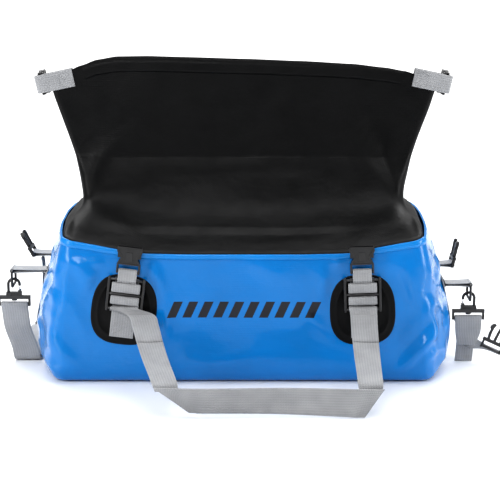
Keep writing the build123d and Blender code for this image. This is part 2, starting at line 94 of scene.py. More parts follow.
# ------------------------------------------------------------------ finishes
class Recipe:
    """A material's nodes, laid out in a few words each."""

    def __init__(self, name: str) -> None:
        """Start a material that has only its shader.

        Args:
            name: the material's name.
        """
        self.material = bpy.data.materials.new(name)
        self.material.use_nodes = True
        self.tree = self.material.node_tree
        self.shader = self.tree.nodes["Principled BSDF"]

    def node(self, kind: str, inputs: dict | None = None, **settings: object) -> bpy.types.Node:
        """Add a node.

        Args:
            kind: the node's type without its prefix.
            inputs: values or sockets for its inputs, by name or number.
            settings: values for its own properties.

        Returns:
            The new node.
        """
        new = self.tree.nodes.new("ShaderNode" + kind)
        for key, value in settings.items():
            setattr(new, key, value)
        for key, value in (inputs or {}).items():
            self.feed(new.inputs[key], value)
        return new

    def feed(self, target: bpy.types.NodeSocket, value: object) -> None:
        """Link a socket to an input, or set the input to a plain value."""
        if isinstance(value, bpy.types.NodeSocket):
            self.tree.links.new(value, target)
        else:
            target.default_value = value

    def math(self, operation: str, first: object, second: object = 0.0) -> bpy.types.NodeSocket:
        """The result of a sum on two values or sockets."""
        return self.node("Math", {0: first, 1: second}, operation=operation).outputs[0]

    def ripple(self, source: object, period: float, shift: object = 0.0) -> bpy.types.NodeSocket:
        """A sine along a distance.

        Args:
            source: socket with the distance.
            period: length of one wave, in the same unit.
            shift: phase in radians, a number or a socket.

        Returns:
            A socket that runs from -1 to 1.
        """
        angle = self.math("MULTIPLY", source, 2 * pi / period)
        return self.math("SINE", self.math("ADD", angle, shift))

    def speckle(self, scale: float, detail: float = 3.0, stretch: tuple = (1, 1, 1)) -> bpy.types.NodeSocket:
        """Noise over the object.

        Args:
            scale: how fine the noise is, per metre.
            detail: how many finer layers it has.
            stretch: factors that stretch it along each axis.

        Returns:
            A socket from 0 to 1.
        """
        spot = self.node("TexCoord").outputs["Object"]
        spot = self.node("Mapping", {"Vector": spot, "Scale": stretch}).outputs[0]
        return self.node("TexNoise", {"Vector": spot, "Scale": scale, "Detail": detail}).outputs[0]

    def spread(self, source: object, low: float, high: float) -> bpy.types.NodeSocket:
        """Map 0.3 to 0.7, the usual range of noise, onto low to high."""
        return self.node(
            "MapRange", {"Value": source, "From Min": 0.3, "From Max": 0.7, "To Min": low, "To Max": high}
        ).outputs[0]

    def tint(self, factor: object, dark: tuple, light: tuple) -> bpy.types.NodeSocket:
        """A colour between two, by a factor from 0 to 1."""
        mix = self.node("Mix", {0: factor, 6: (*dark, 1), 7: (*light, 1)}, data_type="RGBA")
        return mix.outputs[2]

    def relief(self, height: object, depth: float, under: object = None) -> bpy.types.NodeSocket:
        """Bump from a height.

        Args:
            height: socket with the height, about 0 to 1.
            depth: the relief's depth in metres.
            under: normal socket of a coarser relief below it.

        Returns:
            The normal socket.
        """
        bump = self.node("Bump", {"Height": height, "Distance": depth, "Strength": 1.0})
        if under is not None:
            self.feed(bump.inputs["Normal"], under)
        return bump.outputs[0]

    def dress(self, **inputs: object) -> bpy.types.Material:
        """Set the shader's inputs, with underscores for spaces, and give the finished material."""
        for key, value in inputs.items():
            self.feed(self.shader.inputs[key.replace("_", " ")], value)
        return self.material


@dataclass(frozen=True)
class Tarpaulin:
    """Coated fabric: smooth or matte coating over a fine woven scrim that shows faintly through it."""

    name: str
    dark: tuple
    light: tuple
    smooth: float
    rough: float
    scrim: float
    coat: float
    bars: bool = False

    def scrim_height(self, recipe: Recipe) -> bpy.types.NodeSocket:
        """Height of the scrim's threads, which cross at a fixed pitch."""
        place = recipe.node("SeparateXYZ", {0: recipe.node("TexCoord").outputs["Object"]})
        pitch = 0.0024
        waves = [recipe.ripple(place.outputs[axis], pitch) for axis in range(3)]
        return recipe.math("MULTIPLY", recipe.math("ADD", waves[0], waves[1]), waves[2])

    def bar_mask(self, recipe: Recipe) -> bpy.types.NodeSocket:
        """Mask of the plain row of slanted bars printed on the front face."""
        place = recipe.node("SeparateXYZ", {0: recipe.node("TexCoord").outputs["Object"]})
        along, out, up = place.outputs
        slant, pitch = 0.45, 0.0206
        slanted = recipe.math("SUBTRACT", along, recipe.math("MULTIPLY", up, slant))
        mask = recipe.math("GREATER_THAN", recipe.ripple(slanted, pitch), -0.25)
        for socket, low, high in ((slanted, -0.1457, 0.0603), (up, 0.094, 0.116), (out, -0.2, -0.12)):
            mask = recipe.math("MULTIPLY", mask, recipe.math("GREATER_THAN", socket, low))
            mask = recipe.math("MULTIPLY", mask, recipe.math("LESS_THAN", socket, high))
        return mask

    def make(self) -> bpy.types.Material:
        """Build the material."""
        recipe = Recipe(self.name)
        smudge = recipe.speckle(9.0)
        colour = recipe.tint(recipe.spread(smudge, 0, 1), self.dark, self.light)
        roughness = recipe.spread(recipe.speckle(38.0, 5.0), self.smooth, self.rough)
        if self.bars:
            mask = self.bar_mask(recipe)
            ink = recipe.node("Mix", {0: mask, 6: colour, 7: (0.006, 0.008, 0.014, 1)}, data_type="RGBA")
            colour = ink.outputs[2]
        soft = recipe.relief(recipe.speckle(60.0, 2.0), 0.0007)
        fine = recipe.relief(self.scrim_height(recipe), self.scrim, soft)
        return recipe.dress(
            Base_Color=colour, Roughness=roughness, Normal=fine, Coat_Weight=self.coat, Coat_Roughness=0.09,
            Specular_IOR_Level=0.2 if self.coat else 0.15, Sheen_Weight=0.0 if self.coat else 0.02,
        )


@dataclass(frozen=True)
class Webbing:
    """Woven webbing: ribs along its length, crossed by a fine twill, with fuzz and wear."""

    name: str
    dark: tuple
    light: tuple

    def make(self) -> bpy.types.Material:
        """Build the material."""
        recipe = Recipe(self.name)
        strip = recipe.node("SeparateXYZ", {0: recipe.node("TexCoord").outputs["UV"]})
        across, along = strip.outputs[0], strip.outputs[1]
        rib = recipe.ripple(across, 0.0034)
        twill = recipe.ripple(along, 0.0021, recipe.math("MULTIPLY", rib, 1.5))
        weave = recipe.math("ADD", recipe.math("MULTIPLY", rib, 0.15), recipe.math("MULTIPLY", twill, 0.25))
        weave = recipe.math("ADD", weave, 0.5)
        worn = recipe.spread(recipe.speckle(45.0, 4.0), -0.22, 0.22)
        colour = recipe.tint(recipe.math("ADD", weave, worn), self.dark, self.light)
        fuzz = recipe.relief(recipe.speckle(2400.0), 0.0001)
        return recipe.dress(
            Base_Color=colour, Roughness=recipe.spread(recipe.speckle(300.0), 0.62, 0.8),
            Normal=recipe.relief(weave, 0.0005, fuzz), Sheen_Weight=0.25, Sheen_Roughness=0.4,
        )


@dataclass(frozen=True)
class Hard:
    """Moulded plastic or metal, with fine grain and edges polished by use."""

    name: str
    dark: tuple
    light: tuple
    smooth: float
    rough: float
    metal: float = 0.0
    grain: float = 900.0
    stretch: tuple = (1, 1, 1)

    def make(self) -> bpy.types.Material:
        """Build the material."""
        recipe = Recipe(self.name)
        wear = recipe.node("NewGeometry").outputs["Pointiness"]
        edge = recipe.node("MapRange", {"Value": wear, "From Min": 0.5, "From Max": 0.62}).outputs[0]
        cloud = recipe.spread(recipe.speckle(70.0, 4.0, self.stretch), 0.0, 0.55)
        colour = recipe.tint(recipe.math("MAXIMUM", edge, cloud), self.dark, self.light)
        return recipe.dress(
            Base_Color=colour, Metallic=self.metal,
            Roughness=recipe.spread(recipe.speckle(210.0, 4.0, self.stretch), self.smooth, self.rough),
            Normal=recipe.relief(recipe.speckle(self.grain, 3.0, self.stretch), 0.00012),
        )


FINISHES = (
    Tarpaulin("blue_tarpaulin", (0.0, 0.138, 0.41), (0.0, 0.165, 0.49), 0.13, 0.25, 0.00003, 0.25, bars=True),
    # weld band finish: a lighter copy of the blue tarpaulin, painted highlight where the welded top edge
    # catches the light
    Tarpaulin("weld_band", (0.0, 0.158, 0.46), (0.002, 0.195, 0.55), 0.16, 0.3, 0.00004, 0.25),
    Tarpaulin(
        "black_tarpaulin", (0.0006, 0.0007, 0.0009), (0.0014, 0.0015, 0.0018), 0.34, 0.48, 0.00004, 0.0
    ),
    Webbing("grey_webbing", (0.19, 0.195, 0.205), (0.31, 0.315, 0.325)),
    Webbing("stitching", (0.2, 0.205, 0.215), (0.34, 0.345, 0.36)),
    Hard("black_plastic", (0.004, 0.004, 0.0045), (0.017, 0.017, 0.018), 0.3, 0.46),
    Hard("hook_metal", (0.006, 0.006, 0.0065), (0.045, 0.045, 0.047), 0.22, 0.4, metal=0.3),
    Hard(
        "steel_wire", (0.34, 0.34, 0.35), (0.6, 0.6, 0.61), 0.16, 0.32, metal=1.0, grain=1500.0,
        stretch=(1, 1, 0.1),
    ),
)
MATERIALS: dict[str, bpy.types.Material] = {}


def finish(name: str) -> bpy.types.Material:
    """The named material, made the first time that it is asked for."""
    if name not in MATERIALS:
        MATERIALS[name] = next(kind for kind in FINISHES if kind.name == name).make()
    return MATERIALS[name]


# ------------------------------------------------------------------ mesh making
def grid_faces(rows: int, count: int, closed: bool = True) -> list[tuple[int, int, int, int]]:
    """Faces between rows of points.

    Args:
        rows: how many rows there are.
        count: points in each row.
        closed: whether a row's last point joins its first.

    Returns:
        The corner numbers of each face.
    """
    faces = []
    for row in range(rows - 1):
        for k in range(count if closed else count - 1):
            a, b = row * count + k, row * count + (k + 1) % count
            faces.append((a, b, b + count, a + count))
    return faces


def make_piece(
    name: str, points: Sequence[Vector], faces: Sequence[Sequence[int]], material: str,
    strip: Sequence[tuple[float, float]] | None = None,
) -> bpy.types.Object:
    """Make an object from points in millimetres.

    Args:
        name: the piece's name.
        points: corner points.
        faces: corner numbers of each face.
        material: the finish's name.
        strip: distances across and along the webbing for each point.

    Returns:
        The object, smooth-shaded and in the scene.
    """
    mesh = bpy.data.meshes.new(name)
    mesh.from_pydata([point * METRES for point in points], [], faces)
    mesh.validate()
    if strip is not None:
        layer = mesh.uv_layers.new(name="strip")
        for loop in mesh.loops:
            across, along = strip[loop.vertex_index]
            layer.data[loop.index].uv = (across * METRES, along * METRES)
    mesh.shade_smooth()
    mesh.materials.append(finish(material))
    piece = bpy.data.objects.new(name, mesh)
    bpy.context.scene.collection.objects.link(piece)
    return piece


def apply_modifiers(piece: bpy.types.Object) -> None:
    """Put the result of a piece's modifiers into its mesh."""
    seen = piece.evaluated_get(bpy.context.evaluated_depsgraph_get())
    mesh = bpy.data.meshes.new_from_object(seen)
    piece.modifiers.clear()
    piece.data = mesh


def soften_edges(piece: bpy.types.Object, radius: float, steps: int = 3) -> bpy.types.Object:
    """Round a hard piece's edges by a radius in millimetres."""
    bevel = piece.modifiers.new("round", "BEVEL")
    bevel.width = radius * METRES
    bevel.segments = steps
    bevel.limit_method = "ANGLE"
    bevel.angle_limit = radians(35)
    bevel.harden_normals = True
    apply_modifiers(piece)
    return piece


def curve_through(points: Sequence[Vector], steps: int = 6) -> list[Vector]:
    """A smooth path through points.

    Args:
        points: the points it passes.
        steps: spans between two points.

    Returns:
        The path's points, ends included.
    """
    path = []
    last = len(points) - 1
    for index in range(last):
        before = points[max(index - 1, 0)]
        start, end = points[index], points[index + 1]
        after = points[min(index + 2, last)]
        for step in range(steps):
            t = step / steps
            path.append(
                0.5 * (2 * start + (end - before) * t + (2 * before - 5 * start + 4 * end - after) * t**2
                       + (3 * start - before - 3 * end + after) * t**3)
            )
    path.append(points[last].copy())
    return path


def ribbon(
    name: str, left: Sequence[Vector], right: Sequence[Vector], thickness: float = 1.8,
    material: str = "grey_webbing", bow: float = 0.0,
) -> bpy.types.Object:
    """Flat webbing between two edge lines.

    Args:
        name: the piece's name.
        left: points along one edge.
        right: as many points along the other.
        thickness: of the webbing.
        material: the finish's name.
        bow: how far the middle stands out of the flat.

    Returns:
        The piece.
    """
    across_steps = (0.0, 0.012, 0.045, 0.25, 0.5, 0.75, 0.955, 0.988, 1.0)
    half = thickness / 2
    rounding = (0.25, 0.75, 1.0, 1.0, 1.0, 1.0, 1.0, 0.75, 0.25)
    points, strip = [], []
    count = len(left)
    length = 0.0
    for row in range(count):
        low, high = max(row - 1, 0), min(row + 1, count - 1)
        middle = (left[row] + right[row]) / 2
        if row:
            length += (middle - (left[row - 1] + right[row - 1]) / 2).length
        ahead = (left[high] + right[high]) - (left[low] + right[low])
        across = right[row] - left[row]
        normal = across.cross(ahead).normalized()
        for sign in (1, -1):
            steps = list(zip(across_steps, rounding))
            for t, round_off in steps if sign > 0 else reversed(steps):
                lift = sign * half * round_off + bow * 4 * t * (1 - t)
                points.append(left[row].lerp(right[row], t) + normal * lift)
                strip.append((t * across.length, length))
    ring = 2 * len(across_steps)
    faces = grid_faces(count, ring)
    faces.append(tuple(reversed(range(ring))))
    faces.append(tuple(range((count - 1) * ring, count * ring)))
    return make_piece(name, points, faces, material, strip)


def flat_strap(
    name: str, path: Sequence[Vector], width: float, across: Vector, thickness: float = 1.8, steps: int = 5,
    material: str = "grey_webbing",
) -> bpy.types.Object:
    """Webbing of one width along a smooth path.

    Args:
        name: the piece's name.
        path: points on its centreline.
        width: of the webbing.
        across: direction of its width.
        thickness: of the webbing.
        steps: spans between two points of the path.
        material: the finish's name.

    Returns:
        The piece.
    """
    line = curve_through(path, steps)
    half = across.normalized() * width / 2
    return ribbon(name, [p - half for p in line], [p + half for p in line], thickness, material)


def stitches(name: str, runs: Sequence[tuple[Vector, Vector, Vector]]) -> bpy.types.Object:
    """Rows of sewn stitches.

    Args:
        name: the piece's name.
        runs: start, end and outward direction of each row.

    Returns:
        One piece with all of them.
    """
    points, faces, strip = [], [], []
    pitch, stitch, half_width, height = 3.4, 2.5, 0.35, 0.4
    for start, end, out in runs:
        ahead = (end - start).normalized()
        aside = out.cross(ahead).normalized()
        for number in range(int((end - start).length // pitch)):
            base = start + ahead * (number * pitch + pitch / 2)
            first = len(points)
            for t, lift in ((-0.5, -0.25), (-0.3, height), (0.3, height), (0.5, -0.25)):
                for sign in (-1, 1):
                    points.append(base + ahead * (t * stitch) + aside * (sign * half_width) + out * lift)
                    strip.append((t * stitch, sign * half_width))
            for k in range(3):
                a = first + 2 * k
                faces.append((a, a + 1, a + 3, a + 2))
    return make_piece(name, points, faces, "stitching", strip)


def box_stitch(corner: Vector, along: Vector, up: Vector, out: Vector) -> list[tuple[Vector, Vector, Vector]]:
    """Rows of a sewn box with a cross in it.

    Args:
        corner: the box's first corner.
        along: its first side.
        up: its second side.
        out: direction away from the webbing.

    Returns:
        Rows for stitches().
    """
    far = corner + along + up
    return [
        (corner, corner + along, out), (corner, corner + up, out), (corner + along, far, out),
        (corner + up, far, out), (corner, far, out), (corner + along, corner + up, out),
    ]


def prism(
    name: str, outline: Sequence[tuple[float, float]], low: float, high: float, place: Matrix,
    material: str = "black_plastic",
) -> bpy.types.Object:
    """A moulded plate with an outline, not yet softened.

    Args:
        name: the piece's name.
        outline: corners, anticlockwise, in the plate's own plane.
        low: its lower face.
        high: its upper face.
        place: from the plate's own axes to the bag's.
        material: the finish's name.

    Returns:
        The piece.
    """
    count = len(outline)
    points = [place @ Vector((x, y, z)) for z in (low, high) for x, y in outline]
    faces = [tuple(reversed(range(count))), tuple(range(count, 2 * count))]
    faces += [(k, (k + 1) % count, count + (k + 1) % count, count + k) for k in range(count)]
    return make_piece(name, points, faces, material)


def mirrored(outline: Sequence[tuple[float, float]], sign: int) -> list[tuple[float, float]]:
    """An outline as it is, or for a sign of -1 its mirror image, still anticlockwise."""
    turned = [(sign * x, y) for x, y in outline]
    return turned if sign > 0 else turned[::-1]


def rod(
    name: str, start: Vector, end: Vector, radius: float, material: str = "black_plastic",
) -> bpy.types.Object:
    """A round bar with rounded ends, between two points in millimetres."""
    aim = (end - start).to_track_quat("Z", "Y").to_matrix()
    length = (end - start).length
    levels = ((0.0, 0.7), (0.35, 1.0), (length - 0.35, 1.0), (length, 0.7))
    points = []
    sides = 20
    for height, share in levels:
        for k in range(sides):
            angle = 2 * pi * k / sides
            spot = Vector((radius * share * cos(angle), radius * share * sin(angle), height))
            points.append(start + aim @ spot)
    faces = grid_faces(len(levels), sides)
    faces.append(tuple(reversed(range(sides))))
    faces.append(tuple(range(len(points) - sides, len(points))))
    return make_piece(name, points, faces, material)


def join(name: str, pieces: Sequence[bpy.types.Object]) -> bpy.types.Object:
    """Put several pieces of one material set into one object with a new name."""
    first = pieces[0]
    with bpy.context.temp_override(
        active_object=first, selected_objects=list(pieces), selected_editable_objects=list(pieces)
    ):
        bpy.ops.object.join()
    first.name = name
    first.data.name = name
    return first


def hollow(piece: bpy.types.Object, direction: Vector, inset: float, depth: float) -> None:
    """Sink a recess into the largest face that looks in a direction.

    Args:
        piece: the plate.
        direction: outward direction of the face.
        inset: rim left round the recess, in millimetres.
        depth: how deep it goes, in millimetres.
    """
    work = bmesh.new()
    work.from_mesh(piece.data)
    work.normal_update()
    looking = [face for face in work.faces if face.normal.dot(direction) > 0.9]
    target = max(looking, key=lambda face: face.calc_area())
    bmesh.ops.inset_region(work, faces=[target], thickness=inset * METRES, depth=0.0)
    lower = bmesh.ops.extrude_discrete_faces(work, faces=[target])["faces"][0]
    step = -direction.normalized() * depth * METRES
    bmesh.ops.translate(work, verts=lower.verts, vec=step)
    work.to_mesh(piece.data)
    work.free()


def mount(pieces: Sequence[bpy.types.Object], body: str) -> None:
    """Let pieces move with a body."""
    for piece in pieces:
        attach(piece, body)


def place_matrix(origin: Vector, x_axis: Vector, z_axis: Vector) -> Matrix:
    """Axes of a piece of hardware: its bar along x, its length along y and its thickness along z."""
    x_axis, z_axis = x_axis.normalized(), z_axis.normalized()
    y_axis = z_axis.cross(x_axis)
    turn = Matrix((x_axis, y_axis, z_axis)).transposed().to_4x4()
    return Matrix.Translation(origin) @ turn


# ------------------------------------------------------------------ soft shell
@dataclass(frozen=True)
class Section:
    """One level cut of the shell: a rounded rectangle whose ends bulge."""

    height: float
    half_length: float
    half_depth: float
    corner: float
    bulge: float = 0.0

    def towards(self, other: "Section", t: float) -> "Section":
        """The cut a share t of the way to another one."""
        pairs = zip(vars(self).values(), vars(other).values())
        return Section(*[a + (b - a) * t for a, b in pairs])


@dataclass(frozen=True)
class Crease:
    """A soft fold on the front or rear, given by its two ends as (x, z)."""

    start: tuple[float, float]
    end: tuple[float, float]
    width: float
    depth: float

    def lift(self, x: float, z: float) -> float:
        """How far the fold moves the surface at a place."""
        run_x, run_z = self.end[0] - self.start[0], self.end[1] - self.start[1]
        off_x, off_z = x - self.start[0], z - self.start[1]
        span = run_x**2 + run_z**2
        t = (off_x * run_x + off_z * run_z) / span
        near = min(max(t, 0.0), 1.0)
        gap = hypot(off_x - near * run_x, off_z - near * run_z)
        side = (off_x * run_z - off_z * run_x) / span**0.5
        fade = (0.25 + 0.75 * (4 * near * (1 - near)) ** 0.7)
        steeper_side = 1 - 0.55 * side / (abs(side) + self.width)
        return self.depth * fade * exp(-((gap / self.width) ** 2)) * steeper_side


def smooth(edge_low: float, edge_high: float, value: float) -> float:
    """0 below the first edge, 1 above the second, and an even curve between."""
    t = min(max((value - edge_low) / (edge_high - edge_low), 0.0), 1.0)
    return t * t * (3 - 2 * t)


@dataclass
class Shell:
    """The bag's fabric, from the base to the mouth, as rings that all have the same number of points."""

    rim_height: float = 184.0
    ridge_height: float = 290.0
    fold_height: float = 331.0
    front_points: int = 110
    corner_points: int = 14
    end_points: int = 40
    patch_offset: float = 160.0
    patch_height: float = 105.0
    wall: float = 1.3
    seam: float = 250.0
    half_depth: float = 150.0
    ridge_half: float = 236.5
    mouth_half: float = 272.0
    mouth_depth: float = 7.4
    end_profile: tuple = (
        (0, 10), (3.5, 24), (13, 35), (32, 41), (70, 41), (115, 30), (158, 15), (184, 1),
    )
    neck_flare: float = 0.33
    mouth: tuple = (
        (-280, 397), (-270, 399), (-248, 408), (-224, 417), (-200, 425), (-172, 429.5), (-130, 430),
        (-80, 428.5), (0, 426), (80, 423), (150, 419), (195, 414), (225, 409), (250, 402), (270, 397),
        (280, 396),
    )

    def plan(self, cut: Section) -> list[Vector]:
        """Points round one cut, from the front's left to its right and on round."""
        a, b = cut.half_length, cut.half_depth
        r = min(cut.corner, b * 0.98)
        ring = []
        for turn, (cx, cy, run, count) in enumerate((
            (-(a - r), -b, (1, 0), self.front_points), (a, -(b - r), (0, 1), self.end_points),
            (a - r, b, (-1, 0), self.front_points), (-a, b - r, (0, -1), self.end_points),
        )):
            long = 2 * (a - r) if turn % 2 == 0 else 2 * (b - r)
            for k in range(count):
                t = k / count
                ring.append(Vector((cx + run[0] * long * t, cy + run[1] * long * t, cut.height)))
            corner = Vector((cx + run[0] * long, cy + run[1] * long, 0))
            inward = Vector((-run[1], run[0], 0))
            centre = corner + inward * r
            for k in range(self.corner_points):
                angle = (pi / 2) * k / self.corner_points
                offset = -inward * cos(angle) + Vector((*run, 0)) * sin(angle)
                spot = centre + offset * r
                ring.append(Vector((spot.x, spot.y, cut.height)))
        for point in ring:
            share = max(0.0, 1 - (abs(point.y) / b) ** 2.4)
            near_end = smooth(a - r - 1, a, abs(point.x))
            point.x += (1 if point.x > 0 else -1) * cut.bulge * share * near_end
        return ring

    def cuts(self, sections: Sequence[Section], count: int) -> list[Section]:
        """Evenly spread cuts through given ones.

        Args:
            sections: the given cuts, upwards.
            count: how many spans the result has.

        Returns:
            The cuts, ends included.
        """
        rows = [Vector((s.height, s.half_length, s.half_depth)) for s in sections]
        fine = curve_through(rows, 12)
        result = []
        for index in range(count + 1):
            t = index / count * (len(fine) - 1)
            low = min(int(t), len(fine) - 2)
            row = fine[low].lerp(fine[low + 1], t - low)
            between = t / 12
            first = min(int(between), len(sections) - 2)
            rest = sections[first].towards(sections[first + 1], between - first)
            result.append(Section(row.x, row.y, row.z, rest.corner, rest.bulge))
        return result

    def mouth_height(self, x: float) -> float:
        """Height of the mouth's edge at x."""
        for (x0, z0), (x1, z1) in zip(self.mouth, self.mouth[1:]):
            if x <= x1:
                t = smooth(x0, x1, x) * 0.4 + 0.6 * min(max((x - x0) / (x1 - x0), 0), 1)
                return z0 + (z1 - z0) * t
        return self.mouth[-1][1]

    def patch_mask(self, x: float, z: float) -> float:
        """1 away from the patches and 0 on them, where the fabric is flat."""
        gap = min(hypot(x - s * self.patch_offset, (z - self.patch_height) / 1.15) for s in (-1, 1))
        strap = min(max(abs(x - s * self.patch_offset) - 22, (self.patch_height - z) * 2) for s in (-1, 1))
        return smooth(44, 62, gap) * smooth(0, 16, strap)

    def rim_rise(self, x: float, y: float) -> float:
        """How much higher the blue fabric's top edge stands towards the bag's corners."""
        across = min(max((abs(x) - 140) / 100, 0.0), 1.0) * 17
        across += smooth(228, 240, abs(x)) * 7 * (1 - (y / self.half_depth) ** 2)
        return across - 3.5 * (1 - smooth(60, 230, abs(x))) * (1 if abs(y) > 100 else 0)

    blue_creases: tuple = (
        Crease((-238, 186), (-186, 122), 12, 6.5), Crease((-212, 178), (-176, 160), 8, 4.0),
        Crease((-122, 168), (-108, 122), 6, 4.2), Crease((-104, 118), (-106, 62), 7, 3.2),
        Crease((118, 176), (152, 158), 8, 4.2), Crease((100, 166), (112, 112), 8, 4.0),
        Crease((270, 88), (210, 20), 8, 8.0), Crease((250, 110), (214, 60), 9, 2.4),
        Crease((-262, 60), (-214, 14), 10, 4.0), Crease((-240, 120), (-212, 70), 9, 2.0),
        Crease((-90, 22), (40, 36), 14, 2.4), Crease((60, 150), (10, 172), 12, 1.8),
        Crease((214, 170), (232, 112), 9, 4.6), Crease((86, 96), (122, 60), 10, 3.4),
    )
    black_creases: tuple = (
        Crease((-226, 228), (-136, 190), 10, 8.0), Crease((-224, 232), (-196, 300), 12, 5.0),
        Crease((222, 228), (150, 192), 10, 7.5), Crease((224, 236), (190, 306), 12, 5.0),
        Crease((-120, 214), (60, 206), 18, 2.6), Crease((-60, 240), (120, 262), 22, 2.2),
        Crease((-230, 262), (-150, 330), 16, 2.4), Crease((232, 262), (170, 345), 16, 2.6),
        Crease((-180, 350), (-110, 420), 20, 1.8), Crease((40, 330), (110, 410), 22, 1.6),
    )

    def stir(self, point: Vector, normal: Vector, blue: bool) -> Vector:
        """The place of a point after dents, folds and slack.

        Args:
            point: on the even shell.
            normal: outward there.
            blue: whether it lies on the blue fabric.

        Returns:
            Its new place.
        """
        x, y, z = point
        face_share = abs(normal.y)
        slow = noise.noise(Vector((x / 92, y / 80 + 4.2, z / 66)))
        quick = noise.noise(Vector((x / 34 + 7.0, y / 40, z / 30)))
        turned = x if y < 0 else -x
        if blue:
            end_share = smooth(236, 258, abs(x))
            crinkle = 1 - abs(noise.noise(Vector((y / 46, z / 30 + 3.1, x / 60)))) * 3.4
            lift = 2.6 * slow + 0.8 * quick + end_share * (1.8 * quick + 2.4 * max(crinkle, -0.6))
            lift += sum(crease.lift(turned, z) for crease in self.blue_creases) * max(face_share, 0.4)
            lift *= smooth(2, 26, z)
            if abs(y) > 120:
                lift *= self.patch_mask(x, z)
            lift *= 1 - 0.85 * smooth(self.rim_height - 16, self.rim_height - 4, z)
            lift = max(lift, -6.0)
        else:
            settle = smooth(self.rim_height, self.rim_height + 14, z)
            thin = 1 - 0.55 * smooth(self.ridge_height - 30, self.ridge_height + 20, z)
            lift = (3.4 * slow + 1.0 * quick) * settle * thin
            folds = sum(crease.lift(turned, z) for crease in self.black_creases)
            lift += folds * settle * (0.45 + 0.55 * thin) * face_share
            limit = 2.2 + 6 * (1 - smooth(self.rim_height, self.ridge_height, z))
            lift = min(max(lift, -limit), 6.0)
            hang = smooth(self.ridge_height, 360, z)
            point = point + Vector((0, 2.4 * hang * noise.noise(Vector((x / 120 + 2, 1.5, z / 120))), 0))
        return point + normal * lift

    def ring_normals(self, rings: Sequence[Sequence[Vector]]) -> list[list[Vector]]:
        """Outward directions at every point of stacked rings."""
        result = []
        count = len(rings[0])
        for row, ring in enumerate(rings):
            low, high = rings[max(row - 1, 0)], rings[min(row + 1, len(rings) - 1)]
            line = []
            for k in range(count):
                along = ring[(k + 1) % count] - ring[k - 1]
                up = high[k] - low[k]
                line.append(along.cross(up).normalized())
            result.append(line)
        return result

    def blue_rings(self) -> list[list[Vector]]:
        """Rings of the blue fabric from its foot to its top edge."""
        walls = (
            (251, 128, 9), (254, 139, 10), (256, 146, 12), (256, self.half_depth, 13),
            (254, self.half_depth, 14), (self.seam, self.half_depth, 15), (245, self.half_depth, 16),
            (240, 149, 18),
        )
        sections = [
            Section(height, *wall, self.seam + reach - wall[0])
            for (height, reach), wall in zip(self.end_profile, walls)
        ]
        rings = [self.plan(cut) for cut in self.cuts(sections, 54)]
        for ring in rings:
            for point in ring:
                share = point.z / self.rim_height
                point.z += self.rim_rise(point.x, point.y) * share**3
        normals = self.ring_normals(rings)
        return [
            [self.stir(p, n, True) for p, n in zip(ring, line)]
            for ring, line in zip(rings, normals)
        ]

    def black_rings(self) -> list[list[Vector]]:
        """Rings of the black fabric from inside the blue's top edge to the mouth."""
        sections = (
            Section(self.rim_height - 6, 239, 147.6, 16, 9), Section(self.rim_height + 1, 238, 146, 16, 8),
            Section(191, 236, 132, 20, 7), Section(204, 230, 96, 26, 5), Section(222, 225, 61, 30, 1),
            Section(245, 226, 36, 20, 0), Section(270, 231.5, 18.5, 12, 0),
            Section(self.ridge_height, self.ridge_half, 9.4, 8, 0),
        )
        rings = [self.plan(cut) for cut in self.cuts(sections, 44)]
        for ring in rings:
            for point in ring:
                share = smooth(self.rim_height + 70, self.rim_height, point.z)
                point.z += self.rim_rise(point.x, point.y) * share
        neck_rows = 34
        top = self.plan(Section(0, self.mouth_half, self.mouth_depth, 6.5))
        foot = rings[-1]
        for row in range(1, neck_rows + 1):
            t = row / neck_rows
            ring = []
            for low, high in zip(foot, top):
                mouth = self.mouth_height(high.x)
                z = low.z + (mouth - low.z) * t
                flare = self.ridge_half + (z - self.ridge_height) * self.neck_flare
                x = low.x / self.ridge_half * flare
                pinch = 1 - 0.5 * smooth(0.8, 1.0, abs(x) / flare)
                y = low.y + (high.y - low.y) * smooth(0, 0.45, t)
                ring.append(Vector((x, y * (0.55 + 0.45 * pinch), z)))
            rings.append(ring)
        normals = self.ring_normals(rings)
        return [
            [self.stir(p, n, False) for p, n in zip(ring, line)]
            for ring, line in zip(rings, normals)
        ]

    def lining_rings(self, outer: Sequence[Sequence[Vector]]) -> list[list[Vector]]:
        """Rings of the inner surface, from the mouth down to the ridge."""
        normals = self.ring_normals(outer)
        keep = [row for row in range(len(outer)) if outer[row][0].z > self.ridge_height - 40]
        lining = []
        for row in reversed(keep):
            lining.append([p - n * self.wall for p, n in zip(outer[row], normals[row])])
        return lining

    def stack(
        self, name: str, rings: Sequence[Sequence[Vector]], material: str, capped: bool = False,
    ) -> bpy.types.Object:
        """A mesh through stacked rings.

        Args:
            name: the piece's name.
            rings: the rings, in order.
            material: the finish's name.
            capped: whether the first ring is closed by a flat base.

        Returns:
            The piece.
        """
        count = len(rings[0])
        points = [point for ring in rings for point in ring]
        faces = grid_faces(len(rings), count)
        if capped:
            previous = list(range(count))
            centre = sum(rings[0], Vector()) / count
            for share in (0.8, 0.5, 0.2):
                first = len(points)
                points.extend(centre.lerp(point, share) for point in rings[0])
                ring_now = list(range(first, first + count))
                for k in range(count):
                    after = (k + 1) % count
                    faces.append((ring_now[k], ring_now[after], previous[after], previous[k]))
                previous = ring_now
            faces.append(tuple(reversed(previous)))
        return make_piece(name, points, faces, material)

